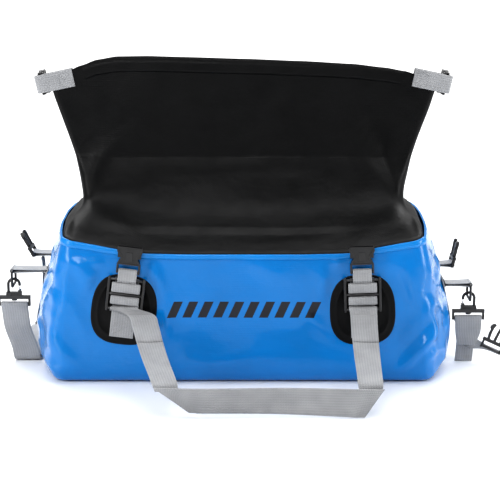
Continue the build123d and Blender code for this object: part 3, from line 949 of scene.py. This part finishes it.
    def build(self) -> list[bpy.types.Object]:
        """Make the blue body, its weld band, the black shoulders with the fold, and the neck's top."""
        blue = self.blue_rings()
        body = self.stack("body_fabric", blue, "blue_tarpaulin", capped=True)
        mount([body], "bag")
        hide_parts("base_panel", "front_panel", "rear_panel", "left_end_panel", "right_end_panel")
        body_band = self.weld_band(blue)
        black = self.black_rings()
        split = min(range(len(black)), key=lambda row: abs(black[row][0].z - self.fold_height))
        lining = self.lining_rings(black)
        whole = self.stack("neck_whole", black, "black_tarpaulin")
        normals = [vertex.normal.copy() for vertex in whole.data.vertices]
        bpy.data.objects.remove(whole)
        count = len(black[0])
        shoulders = self.stack("shoulders_and_fold", black[: split + 1], "black_tarpaulin")
        self.set_normals(shoulders, normals[: (split + 1) * count])
        top = self.stack("neck_top", black[split:] + lining[: len(black) - split], "black_tarpaulin")
        inner_normals = [
            -normals[(len(black) - 1 - row) * count + k]
            for row in range(len(black) - split) for k in range(count)
        ]
        self.set_normals(top, normals[split * count:] + inner_normals)
        inner = self.stack("shoulder_lining", lining[len(black) - split - 1:], "black_tarpaulin")
        for piece in (shoulders, inner):
            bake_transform(piece)
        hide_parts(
            "front_shoulder", "rear_shoulder", "neck_lower_front", "neck_lower_rear",
            "neck_lower_sides",
        )
        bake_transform(top)
        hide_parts("neck_upper_front", "neck_upper_rear", "neck_upper_sides")
        bands = self.mouth_bands(black)
        return [body, body_band, shoulders, inner, top, *bands]

    def set_normals(self, piece: bpy.types.Object, normals: Sequence[Vector]) -> None:
        """Give a piece the shading directions of the whole fabric that it was cut from."""
        piece.data.normals_split_custom_set_from_vertices(normals)

    def weld_band(self, rings: Sequence[Sequence[Vector]]) -> bpy.types.Object:
        """The narrow band where the blue fabric is welded over the black, with its rolled lower edge. Its
        lighter blue is a painted highlight along the top edge.
        """
        normals = self.ring_normals(rings)
        top = len(rings) - 1
        rows = []
        for back, lift in ((3, -0.3), (3, 0.9), (2, 1.3), (1, 1.3), (0, 1.2), (0, -1.0)):
            rows.append([
                point + normal * lift for point, normal in zip(rings[top - back], normals[top - back])
            ])
        # the band takes the lighter blue finish, a painted highlight along the weld
        band = self.stack("weld_band", rows, "weld_band")
        mount([band], "bag")
        return band

    def mouth_bands(self, rings: Sequence[Sequence[Vector]]) -> list[bpy.types.Object]:
        """The stiff strips welded along the mouth, front and rear."""
        normals = self.ring_normals(rings)
        bands = []
        count = self.front_points
        rear_first = count + self.corner_points + self.end_points + self.corner_points
        for face, first in ((Face.FRONT, 0), (Face.REAR, rear_first)):
            span = range(first + 9, first + count - 8)
            rows = []
            for back, lift in ((5, -0.2), (5, 0.15), (4, 0.3), (3, 0.3), (2, 0.3), (0, 0.3), (0, -0.2)):
                row = len(rings) - 1 - back
                rows.append([rings[row][k] + normals[row][k] * lift for k in span])
            points = [point for row in rows for point in row]
            faces = grid_faces(len(rows), len(span), closed=False)
            band = make_piece(f"{face.word}_mouth_band", points, faces, "black_tarpaulin")
            mount([band], "neck_upper")
            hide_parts(f"{face.word}_stiffener")
            bands.append(band)
        return bands


# ------------------------------------------------------------------ buckles and sliders
@dataclass
class Buckle:
    """A side-release buckle's halves. Each half has its bar along x and its mouth or prongs towards y."""

    width: float = 34.0
    thickness: float = 9.0
    bar: float = 2.0
    arm: float = 2.7

    def frame(self, name: str, reach: float, place: Matrix) -> list[bpy.types.Object]:
        """The bar and the two arms that hold it.

        Args:
            name: start of the parts' names.
            reach: where the arms meet the half's body.
            place: the half's axes.

        Returns:
            The parts.
        """
        outer = self.width / 2 - 1.2
        parts = []
        for sign in (-1, 1):
            edge = sorted((sign * outer, sign * (outer - self.arm)))
            outline = ((edge[0], -2.8), (edge[1], -2.8), (edge[1], reach), (edge[0], reach))
            part = prism(f"{name}_arm", outline, -2.5, 2.5, place)
            parts.append(soften_edges(part, 1.1))
        ends = [place @ Vector((sign * (outer - 1.5), 0, 0)) for sign in (-1, 1)]
        parts.append(rod(f"{name}_bar", ends[0], ends[1], self.bar))
        return parts

    def socket(self, name: str, place: Matrix) -> bpy.types.Object:
        """The socket half: a waisted body with a slot for the prongs and a sunk panel on each side."""
        half = self.width / 2
        waist = ((3.0, 10.0), (2.2, 12.0), (3.2, 14.5), (5.2, 17.5), (5.6, 20.0), (4.6, 23.0), (0.8, 26.5),
                 (0.0, 29.0), (0.5, 34.0))
        side = [(half - inset, y) for inset, y in waist]
        outline = side + [(-x, y) for x, y in reversed(side)]
        body = prism(f"{name}_body", outline, -self.thickness / 2, self.thickness / 2, place)
        axes = place.to_3x3()
        hollow(body, axes @ Vector((0, 0, 1)), 2.2, 0.8)
        hollow(body, axes @ Vector((0, 0, -1)), 2.2, 0.8)
        hollow(body, axes @ Vector((0, 1, 0)), 1.5, 15.0)
        soften_edges(body, 0.7, 2)
        tongue = prism(f"{name}_tongue", ((-5, 15), (5, 15), (4, 27), (-4, 27)), 3.6, 4.5, place)
        soften_edges(tongue, 0.35, 2)
        return join(name, [body, tongue, *self.frame(name, 11.5, place)])

    def prongs(self, name: str, place: Matrix) -> bpy.types.Object:
        """The prong half: a shoulder, two sprung prongs with pads and a guide between them."""
        half = self.width / 2
        shoulder = prism(
            f"{name}_shoulder", ((-half, 8), (half, 8), (half - 0.6, 12.6), (-half + 0.6, 12.6)), -2.7, 2.7,
            place,
        )
        parts = [soften_edges(shoulder, 0.9)]
        outer = ((11.2, 12), (12.6, 20), (12.3, 26), (14.6, 28), (14.3, 31.5), (12.4, 34.8), (9.6, 36))
        inner = ((7.6, 35), (8.9, 30), (9.2, 24), (7.6, 12))
        for sign in (-1, 1):
            outline = mirrored(outer + inner, sign)
            parts.append(soften_edges(prism(f"{name}_prong", outline, -2.4, 2.4, place), 0.7, 2))
        tapered = ((-2, 12), (2, 12), (1.6, 31), (0.8, 32), (-0.8, 32), (-1.6, 31))
        guide = prism(f"{name}_guide", tapered, -1.6, 1.6, place)
        parts.append(soften_edges(guide, 0.5, 2))
        return join(name, [*parts, *self.frame(name, 9.0, place)])


@dataclass
class Corner:
    """One welded patch with its anchor webbing, slider, compression webbing and buckle half."""

    face: Face
    side: Side
    offset: float = 160.0
    patch_height: float = 105.0
    plane: float = 150.0
    stand: float = 8.0
    bars: tuple = (108.0, 128.0, 148.0)
    stub: float = 11.0
    wide: float = 38.0
    narrow: float = 25.0
    patch_half: tuple = (44.0, 48.5)
    rail: tuple = (21.5, 25.0)
    bar_radius: float = 2.0
    tilt: float = 0.0

    @property
    def word(self) -> str:
        """The corner's name inside piece and node names."""
        return f"{self.face.word}_{self.side.word}"

    @property
    def sideways(self) -> Vector:
        """Direction of the webbing's width, which the stack's tilt turns in the plane of the face."""
        lean = radians(self.tilt)
        return Vector((cos(lean), 0, -sin(lean)))

    def spot(self, across: float, up: float, out: float) -> Vector:
        """A place given by its distance across from the patch's middle, its height and how far out it is."""
        middle = Vector((
            self.side.value * self.offset, self.face.value * (self.plane + out), self.patch_height,
        ))
        upwards = Vector((-self.sideways.z, 0, self.sideways.x))
        return middle - self.face.value * across * self.sideways + (up - self.patch_height) * upwards

    def axes(self, up: float, out: float) -> Matrix:
        """Axes for hardware on this face: its length upwards and its thickness outwards."""
        turn = -self.face.value
        return place_matrix(self.spot(0, up, out), turn * self.sideways, Vector((0, self.face.value, 0)))

    def patch(self) -> bpy.types.Object:
        """The egg-shaped patch with its moulded ridge and thin welded rim."""
        rings = ((1.0, -0.3), (0.995, 0.8), (0.97, 1.3), (0.93, 1.1), (0.84, 1.1), (0.815, 1.9), (0.775, 1.9),
                 (0.75, 1.1), (0.6, 1.15), (0.3, 1.2))
        sides = 96
        half_width, half_height = self.patch_half
        points = []
        for share, out in rings:
            for k in range(sides):
                angle = 2 * pi * k / sides
                c, s = cos(angle), sin(angle)
                across = half_width * share * (abs(c) ** 0.7) * (1 if c > 0 else -1) * (1 - 0.04 * s)
                up = half_height * share * (abs(s) ** 0.8) * (1 if s > 0 else -1)
                points.append(self.spot(across, self.patch_height + up, out))
        faces = grid_faces(len(rings), sides)
        faces.append(tuple(range(len(points) - sides, len(points))))
        piece = make_piece(f"{self.word}_patch_fabric", points, faces, "black_tarpaulin")
        mount([piece], "bag")
        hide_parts(f"{self.word}_patch")
        return piece

    def strap(self, name: str, profile: Sequence[tuple[float, float]], width: float) -> bpy.types.Object:
        """Webbing that runs up the face along a profile of (height, out) places."""
        path = [self.spot(0, up, out) for up, out in profile]
        return flat_strap(name, path, width, self.sideways)

    def anchor(self) -> list[bpy.types.Object]:
        """The anchor webbing: flat on the patch, then twice round the slider between its bars."""
        flat = self.strap(
            f"{self.word}_anchor_webbing",
            ((67.0, 2.3), (80.0, 2.4), (100.0, 2.5), (118.0, 2.7), (135.0, 2.7), (149.0, 2.4)),
            self.wide - 6,
        )
        upper = self.strap(
            f"{self.word}_upper_wrap",
            ((133.5, 5.2), (138.0, 5.0), (142.0, 6.0), (143.0, 8.6), (142.0, 11.0), (137.5, 11.9),
             (132.6, 11.4), (131.0, 8.8)), self.wide,
        )
        lower = self.strap(
            f"{self.word}_lower_wrap",
            ((117.0, 5.2), (120.0, 5.0), (123.6, 6.2), (124.6, 8.8), (123.8, 11.4), (119.5, 12.0),
             (115.8, 11.4), (114.8, 9.0)), self.wide,
        )
        rows = box_stitch(
            self.spot(-13, 70, 3.3), self.spot(13, 70, 3.3) - self.spot(-13, 70, 3.3), Vector((0, 0, 16)),
            Vector((0, self.face.value, 0)),
        )
        sewn = stitches(f"{self.word}_anchor_stitches", rows)
        mount((flat, upper, lower, sewn), "bag")
        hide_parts(f"{self.word}_anchor")
        return [flat, upper, lower, sewn]

    def slider(self) -> bpy.types.Object:
        """The three-bar slider: two rails and three round bars."""
        place = self.axes(0, self.stand)
        low, high = self.bars[0], self.bars[2]
        parts = []
        for sign in (-1, 1):
            inner, outer = self.rail
            edge = [(outer - 0.9, low - 4), (outer, low - 1), (outer, high + 1), (outer - 0.9, high + 4),
                    (inner + 0.8, high + 4), (inner, high + 2), (inner, low - 2), (inner + 0.8, low - 4)]
            rail = prism(f"{self.word}_rail", mirrored(edge, sign), -2.5, 2.5, place)
            parts.append(soften_edges(rail, 1.0))
        for height in self.bars:
            ends = [place @ Vector((x, height, 0)) for x in (-22.5, 22.5)]
            parts.append(rod(f"{self.word}_rung", ends[0], ends[1], self.bar_radius))
        piece = join(f"{self.word}_slider_frame", parts)
        mount([piece], "bag")
        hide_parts(f"{self.word}_slider")
        return piece

    def compression(self) -> list[bpy.types.Object]:
        """The short doubled webbing above the slider and its half of a buckle."""
        body = f"{self.word}_compression"
        start, end = self.bars[2], self.bars[2] + self.stub
        out = self.stand
        webbing = self.strap(
            f"{self.word}_stub_webbing",
            ((start - 1.8, out + 2.7), (start - 3.3, out), (start - 1.4, out - 3.0), (start + 3, out - 3.1),
             (end - 2, out - 5.0), (end + 1.6, out - 4.8), (end + 3.3, out - 2), (end + 1.4, out + 1.0),
             (end - 3, out + 1.4), (start + 2, out + 3.2), (start - 1.2, out + 3.3)), self.narrow,
        )
        mount([webbing], body)
        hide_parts(f"{body}_webbing")
        place = self.axes(end, out - 2)
        if self.face is Face.FRONT:
            buckle = Buckle().socket(f"{self.word}_buckle_socket", place)
            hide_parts(f"{self.word}_female_buckle")
        else:
            buckle = Buckle().prongs(f"{self.word}_buckle_prongs", place)
            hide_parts(f"{self.word}_male_buckle")
        mount([buckle], body)
        return [webbing, buckle]

    def build(self) -> list[bpy.types.Object]:
        """Make everything on this corner."""
        return [self.patch(), *self.anchor(), self.slider(), *self.compression()]


# ------------------------------------------------------------------ handles
@dataclass
class Handle:
    """A carry handle: two legs from the sliders, each with a hem, and a grip that stands on its edge."""

    face: Face
    bar_height: float = 108.0
    bar_depth: float = 158.0
    feet: tuple = (-97.0, 162.0)
    reach: float = 128.0
    grip_top: float = 38.0
    width: float = 37.5
    left_shift: float = 9.0
    hem_rows: tuple = (20, 31)

    def at(self, x: float, out: float, z: float) -> Vector:
        """A place by how far it lies out from the sliders' bars."""
        return Vector((x, self.face.value * (self.bar_depth + out), z))

    def leg(self, side: Side) -> list[bpy.types.Object]:
        """One leg: round the slider's bar, down over the patch, and out to the grip.

        Args:
            side: the end of the bag that it is nearer to.

        Returns:
            The leg and the hem that lies on its upper part.
        """
        sign = side.value
        top = sign * 160.0
        foot = self.feet[0] if sign < 0 else self.feet[1]
        half = self.width / 2
        lean = foot - top
        spans = ((0.28, 6.5, 7.0), (0.4, 17.0, 20.0), (0.52, 40.0, 34.0), (0.68, 70.0, 48.0),
                 (0.85, 101.0, 59.0), (0.96, 120.0, 67.0))
        left, right = [], []
        shift = self.left_shift if sign < 0 else 0.0
        for out, up, share in ((-3.0, -2.6, 0.0), (-3.0, 1.6, 0.1), (0.2, 3.3, 0.2), (3.4, 0.6, 0.3)):
            left.append(self.at(top + shift * share - half, out, self.bar_height + up))
            right.append(self.at(top + shift * share + half, out, self.bar_height + up))
        for share, out, drop in spans:
            middle = top + shift + (lean - shift) * share
            turn = sign * 3.5 * share
            left.append(self.at(middle - half + 3 * share, out - turn, self.bar_height - drop))
            right.append(self.at(middle + half - 3 * share, out + turn, self.bar_height - drop))
        behind, under = self.reach - 4.6, self.grip_top - 6.0
        left.append(self.at(foot - half + 4, behind, under))
        right.append(self.at(foot + half - 4, behind, under))
        left, right = curve_through(left, 5), curve_through(right, 5)
        leg = ribbon(f"{self.face.word}_handle_{side.word}_leg", left, right, 2.0, bow=0.7)
        lift = Vector((0, self.face.value * 1.9, 0.6))
        hemmed = slice(*self.hem_rows)
        hem = ribbon(
            f"{self.face.word}_handle_{side.word}_hem", [p + lift for p in left[hemmed]],
            [p + lift for p in right[hemmed]], 1.8, bow=0.7,
        )
        return [leg, hem]

    def grip(self) -> bpy.types.Object:
        """The grip, which stands on its lower edge and wavers a little along its length."""
        upper, lower = [], []
        start, end = self.feet[0] - 17, self.feet[1] + 17
        steps = 16
        for k in range(steps + 1):
            t = k / steps
            x = start + (end - start) * t
            wave = 2.4 * sin(2.6 * pi * t) - 1.0 * (1 - t) + 4.0 * t
            lean = 3.0 * sin(1.7 * pi * t)
            upper.append(self.at(x, self.reach - 1.6 + wave + lean * 0.6, self.grip_top + 0.4 * sin(5 * t)))
            slant = 46 * exp(-((t / 0.13) ** 2)) - 25 * exp(-(((1 - t) / 0.1) ** 2))
            lower.append(self.at(x + slant, self.reach - 1.6 + wave - lean, 1.6 + 3.0 * (1 - t)))
        return ribbon(
            f"{self.face.word}_handle_grip", curve_through(upper, 4), curve_through(lower, 4), 2.2, bow=-0.8
        )

    def build(self) -> list[bpy.types.Object]:
        """Make the legs and the grip."""
        pieces = [*self.leg(Side.LEFT), *self.leg(Side.RIGHT), self.grip()]
        mount(pieces, f"{self.face.word}_handle")
        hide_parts(f"{self.face.word}_handle")
        return pieces


# ------------------------------------------------------------------ mouth ends
@dataclass
class MouthEnd:
    """A webbing tab folded round the neck's corner, with the buckle half that closes the roll."""

    side: Side
    loop: float = 282.0
    height: float = 392.0
    slope: float = 12.0
    length: float = 46.0
    width: float = 25.0
    gap: float = 7.6

    def build(self) -> list[bpy.types.Object]:
        """Make the tab, its stitches and its buckle half."""
        sign = self.side.value
        tilt = radians(self.slope)
        out = Vector((sign * cos(tilt), 0, -sin(tilt)))
        across = Vector((sign * sin(tilt), 0, cos(tilt)))
        origin = Vector((sign * self.loop, 0, self.height))
        near = [(-self.length, -self.gap), (-30, -self.gap), (-14, -self.gap), (0, -self.gap * 0.98)]
        bend = [(self.gap * sin(a), -self.gap * cos(a)) for a in (pi / 4, pi / 2, 3 * pi / 4)]
        profile = near + bend + [(along, -y) for along, y in reversed(near)]
        path = [origin + out * along + Vector((0, y, 0)) for along, y in profile]
        tab = flat_strap(f"{self.side.word}_tab_webbing", path, self.width, across)
        rows = []
        for face in Face:
            above = Vector((0, face.value * (self.gap + 0.9), 0))
            corner = origin + out * (-self.length + 4) - across * 9 + above
            rows += box_stitch(corner, out * 16, across * 18, Vector((0, face.value, 0)))
        sewn = stitches(f"{self.side.word}_tab_stitches", rows)
        mount((tab, sewn), "neck_upper")
        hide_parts(f"{self.side.word}_tab")
        buckle = Buckle().socket(f"{self.side.word}_mouth_socket", place_matrix(origin, sign * across, -out))
        mount([buckle], f"{self.side.word}_mouth_buckle")
        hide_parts(f"{self.side.word}_mouth_buckle")
        return [tab, sewn, buckle]


# ------------------------------------------------------------------ bag ends
@dataclass
class BagEnd:
    """Webbing welded to an end panel, the tab that holds the ring, and the end strap with its buckle half."""

    side: Side
    ring: tuple
    strap: tuple
    rise: float
    shell: Shell

    def surface(self, y: float, z: float) -> float:
        """How far out the end panel lies at a place, as a distance from the middle of the bag."""
        sections = self.shell.end_profile
        for (z0, b0), (z1, b1) in zip(sections, sections[1:]):
            if z <= z1:
                t = (z - z0) / (z1 - z0)
                share = 1 - (abs(y) / self.shell.half_depth) ** 2.4
                return self.shell.seam + (b0 + (b1 - b0) * t) * share
        return self.shell.seam

    def upright(self, name: str, y: float, width: float, low: float, high: float) -> bpy.types.Object:
        """Webbing that runs up the end panel."""
        sign = self.side.value
        left, right = [], []
        steps = 10
        for k in range(steps + 1):
            z = low + (high - low) * k / steps
            for edge, line in ((-1, left), (1, right)):
                at = y + edge * width / 2
                line.append(Vector((sign * (self.surface(at, z) + 3.4), at, z)))
        return ribbon(name, left, right)

    def tab(self, name: str, place: tuple, width: float) -> bpy.types.Object:
        """A short doubled tab from the end panel round a bar."""
        sign = self.side.value
        x, y, z = place
        start = self.surface(y, z) + 1.0
        end = abs(x)
        lower = ((start, -9.0), (start + 2.5, -5.0), (start + 6, -1.6), (end - 5, -2.2), (end, -3.2))
        profile = (*lower, (end + 3.2, 0), *[(out, -up) for out, up in reversed(lower)])
        path = [Vector((sign * out, y, z + up)) for out, up in profile]
        return flat_strap(name, path, width, Vector((0, 1, 0)), 1.5)

    def build(self) -> list[bpy.types.Object]:
        """Make the end's webbing, tabs and buckle half."""
        word = self.side.word
        pieces = [
            self.upright(f"{word}_end_wide_webbing", self.ring[1], 38.0, 58.0, 150.0),
            self.upright(f"{word}_end_narrow_webbing", self.strap[1], 25.0, 62.0, 152.0),
            self.tab(f"{word}_ring_tab", self.ring, 25.0),
            self.tab(f"{word}_strap_tab", self.strap, 24.0),
        ]
        if self.side is Side.LEFT:
            x = -self.surface(self.strap[1], 100) - 6.0
            path = [Vector((x - 1.4, 18, 141)), Vector((x + 0.4, 18, 128)), Vector((x - 0.6, 18, 98)),
                    Vector((x - 2.6, 18, 66)), Vector((x - 3.4, 18, 48))]
            pieces.append(flat_strap("left_end_tail_webbing", path, 25.0, Vector((0, 1, 0))))
            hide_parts("left_end_tail")
        mount(pieces, "bag")
        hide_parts(f"{word}_end_webbing")
        sign = self.side.value
        rise = radians(self.rise)
        bar = Vector((0, -sign, 0))
        thick = Vector((-sign * sin(rise), 0, cos(rise)))
        place = place_matrix(Vector(self.strap), bar, thick)
        buckle = Buckle().prongs(f"{word}_end_prongs", place)
        mount([buckle], f"{word}_end_buckle")
        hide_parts(f"{word}_end_buckle")
        return [*pieces, buckle]


# ------------------------------------------------------------------ shoulder strap
@dataclass
class ShoulderStrap:
    """The shoulder strap's two halves: a long one folded on the floor and a short one with a loose tail."""

    left_bar: tuple = (-325.0, -35.0, 83.2)
    right_bar: tuple = (319.0, -35.0, 63.2)
    foot: float = -308.0
    run: float = 180.0
    wide: float = 38.0
    narrow: float = 25.0
    prong_tilt: float = 25.0

    def left_half(self) -> list[bpy.types.Object]:
        """The long half: down from its bar, then three layers folded on the floor behind the bag's end."""
        x, y, z = self.left_bar
        foot = self.foot
        far = y + self.run - 4
        hanging = [(x, y + 3.0, z - 5), (x, y + 3.0, z + 1), (x, y - 0.5, z + 3.3), (x, y - 3.2, z),
                   (x + 1, y - 2.0, z - 9), (x + 4, y - 2.0, z - 34), (foot - 4, y - 1.5, 22),
                   (foot - 1, y - 2.0, 7)]
        folded = ((y + 3, 2.2), (y + 20, 1.6), (y + 70, 1.6), (far - 3, 1.6), (far + 1.2, 2.6),
                  (far - 3, 3.6), (y + 90, 3.7), (y + 16, 3.6), (y + 12, 4.5), (y + 16, 5.4), (y + 60, 5.4),
                  (y + 120, 5.5), (far - 2, 5.4))
        path = [Vector(p) for p in hanging] + [Vector((foot, back, up)) for back, up in folded]
        width_axis = Vector((1, 0, 0))
        strap = flat_strap("left_shoulder_strap_webbing", path, self.wide, width_axis, 1.7)
        bar = Vector((foot, y + self.run + 6, 4.8))
        loop = ((-12, 0.9), (-4, 2.6), (0, 3.2), (3.2, 0), (0, -3.2), (-5, -2.2), (-12, -1.2))
        round_bar = [bar + Vector((0, back, up)) for back, up in loop]
        end = flat_strap("left_shoulder_strap_end", round_bar, self.narrow, width_axis, 1.6)
        mount((strap, end), "left_shoulder_strap")
        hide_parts("left_shoulder_webbing")
        socket = Buckle().socket("shoulder_strap_socket", place_matrix(bar, width_axis, Vector((0, 0, 1))))
        mount([socket], "shoulder_female_buckle")
        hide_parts("shoulder_female_buckle")
        return [strap, end, socket]

    def right_half(self) -> list[bpy.types.Object]:
        """The short half: doubled, with its tail on the floor and a strap to the prong half."""
        x, y, z = self.right_bar
        half = self.wide / 2
        left, right = [], []
        for left_in, right_in, out, height in (
            (0, 0, 3.0, z - 6), (0, 0, 3.2, z), (0, 0, -0.4, z + 3.3), (0, 0, -3.2, z - 1),
            (1, 1, -2.8, z - 20), (3, 6, -2.8, 30), (4, 8, -2.2, 24),
        ):
            left.append(Vector((x - half + left_in, y + out, height)))
            right.append(Vector((x + half - right_in, y + out, height)))
        front = ribbon("right_shoulder_strap_front", curve_through(left, 5), curve_through(right, 5))
        hang = [Vector(p) for p in ((x - 2, y + 1.6, z - 6), (x - 3, y + 1.2, 30), (x - 4, y + 0.8, 12),
                                    (x - 5, y - 1.5, 3.5), (x - 6, y - 5.0, 1.6))]
        tail = flat_strap("right_shoulder_strap_tail", hang, self.narrow, Vector((1, 0, 0)))
        tilt = radians(self.prong_tilt)
        bar = Vector((x + 33, y - 2.8, 18.0))
        bar_axis = Vector((cos(tilt), 0, -sin(tilt)))
        ahead = Vector((0, -1, 0)).cross(bar_axis)
        lower = bar - ahead * 3.0
        half_bar = bar_axis * self.narrow / 2
        inner, outer = lower - half_bar, lower + half_bar
        first = Vector((x - 4, y - 0.4, 22))
        second = Vector((x + 12, y - 0.4, 33))
        edges = [
            curve_through([start, (start + end) / 2 + Vector((0, -1, sag)), end, end + ahead * 6.0])
            for start, end, sag in ((first, inner, -3), (second, outer, 2))
        ]
        link = ribbon("right_shoulder_strap_link", *edges)
        mount((front, tail, link), "right_shoulder_strap")
        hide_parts("right_shoulder_webbing")
        prongs = Buckle().prongs("shoulder_strap_prongs", place_matrix(bar, bar_axis, Vector((0, -1, 0))))
        mount([prongs], "right_shoulder_strap")
        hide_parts("shoulder_male_buckle")
        return [front, tail, link, prongs]

    def build(self) -> list[bpy.types.Object]:
        """Make both halves."""
        return [*self.left_half(), *self.right_half()]


# ------------------------------------------------------------------ studio
@dataclass
class Studio:
    """Pale floor, soft lights and the camera.

    The panels are rows of name, place, target, size and power: metres and watts.
    """

    rise: float = 12.4
    distance: float = 2.0
    focal: float = 108.3
    aim: tuple = (0.009, -0.150, 0.187)
    floor_half: float = 1700.0
    glow: float = 0.4
    extra_glow_seen: float = 0.9
    panels: tuple = (
        ("top_panel", (0.1, 0.3, 2.2), (0, 0, 0), (2.6, 1.8), 42),
        ("left_panel", (-1.5, -0.9, 0.8), (0, 0, 0.12), (0.5, 1.3), 18),
        ("right_panel", (1.7, -0.5, 0.7), (0, 0, 0.12), (0.4, 1.3), 15),
        ("front_panel", (-0.5, -2.4, 1.5), (0, 0, 0.15), (0.9, 0.6), 18),
        ("backdrop_panel", (0, 3.0, 3.6), (0, 4.2, 0), (7.0, 3.0), 420),
    )

    def floor(self) -> None:
        """A pale floor."""
        recipe = Recipe("pale_floor")
        cloud = recipe.tint(recipe.spread(recipe.speckle(1.5), 0, 1), (0.86, 0.87, 0.89), (0.9, 0.905, 0.92))
        MATERIALS["pale_floor"] = recipe.dress(
            Base_Color=cloud, Roughness=recipe.spread(recipe.speckle(3.0), 0.3, 0.36)
        )
        corners = [Vector((x, y, 0)) * self.floor_half for x, y in ((-1, -1), (1, -1), (1, 1), (-1, 1))]
        make_piece("floor", corners, [(0, 1, 2, 3)], "pale_floor")

    def light(self, name: str, place: tuple, target: tuple, size: tuple, power: float) -> None:
        """One soft panel light.

        Args:
            name: the light's name.
            place: its middle, in metres.
            target: what it faces.
            size: its width and height in metres.
            power: in watts.
        """
        lamp = bpy.data.lights.new(name, "AREA")
        lamp.shape = "RECTANGLE"
        lamp.size, lamp.size_y = size
        lamp.energy = power
        holder = bpy.data.objects.new(name, lamp)
        holder.location = place
        holder.rotation_euler = (Vector(target) - Vector(place)).to_track_quat("-Z", "Y").to_euler()
        bpy.context.scene.collection.objects.link(holder)

    def surroundings(self) -> None:
        """A white world that the camera sees brighter than the bag does, and plain view settings."""
        world = bpy.data.worlds.new("studio")
        world.use_nodes = True
        tree = world.node_tree
        background = tree.nodes["Background"]
        background.inputs[0].default_value = (1, 1, 1, 1)
        strength = tree.nodes.new("ShaderNodeMath")
        strength.operation = "MULTIPLY_ADD"
        strength.inputs[1].default_value = self.extra_glow_seen
        strength.inputs[2].default_value = self.glow
        tree.links.new(tree.nodes.new("ShaderNodeLightPath").outputs["Is Camera Ray"], strength.inputs[0])
        tree.links.new(strength.outputs[0], background.inputs[1])
        scene = bpy.context.scene
        scene.world = world
        scene.view_settings.view_transform = "Standard"
        scene.view_settings.look = "Medium High Contrast"

    def build(self) -> None:
        """Place everything."""
        self.floor()
        for panel in self.panels:
            self.light(*panel)
        self.surroundings()
        camera = bpy.data.cameras.new("camera")
        camera.lens = self.focal
        camera.sensor_width = 36
        holder = bpy.data.objects.new("camera", camera)
        away = Vector((0, -cos(radians(self.rise)), sin(radians(self.rise))))
        holder.location = Vector(self.aim) + away * self.distance
        holder.rotation_euler = (-away).to_track_quat("-Z", "Y").to_euler()
        bpy.context.scene.collection.objects.link(holder)
        bpy.context.scene.camera = holder


def dress_hardware(frame: dict) -> None:
    """Give the rings, hooks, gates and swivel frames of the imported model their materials."""
    slots = {row["node"]: row["material_slot"] for row in frame["record"]["subparts"]}
    for node, piece in frame["nodes"].items():
        piece.data.materials.clear()
        piece.data.materials.append(finish(slots[node]))


TILTS = {
    (Face.FRONT, Side.LEFT): 7.0,
    (Face.FRONT, Side.RIGHT): -2.0,
    (Face.REAR, Side.LEFT): 1.5,
    (Face.REAR, Side.RIGHT): -3.0,
}


def main() -> None:
    """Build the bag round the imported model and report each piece."""
    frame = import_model()
    Studio().build()
    dress_hardware(frame)
    shell = Shell()
    groups: list[tuple[str, Callable[[], list[bpy.types.Object]]]] = [("shell", shell.build)]
    for face in Face:
        for side in Side:
            corner = Corner(face, side, tilt=TILTS[face, side])
            groups.append((f"{face.word} {side.word} corner", corner.build))
        groups.append((f"{face.word} handle", Handle(face).build))
    groups += [(f"{side.word} mouth end", MouthEnd(side).build) for side in Side]
    groups.append(("left end", BagEnd(Side.LEFT, (-325, -35, 134), (-302, 18, 146), 62.0, shell).build))
    groups.append(("right end", BagEnd(Side.RIGHT, (319, -35, 114), (300, 18, 130), 78.0, shell).build))
    groups.append(("shoulder strap", ShoulderStrap().build))
    for title, build in groups:
        for piece in build():
            LOG.info("%s: %s, %d points", title, piece.name, len(piece.data.vertices))


if __name__ == "__main__":
    logging.basicConfig(level=logging.INFO, format="%(message)s")
    main()
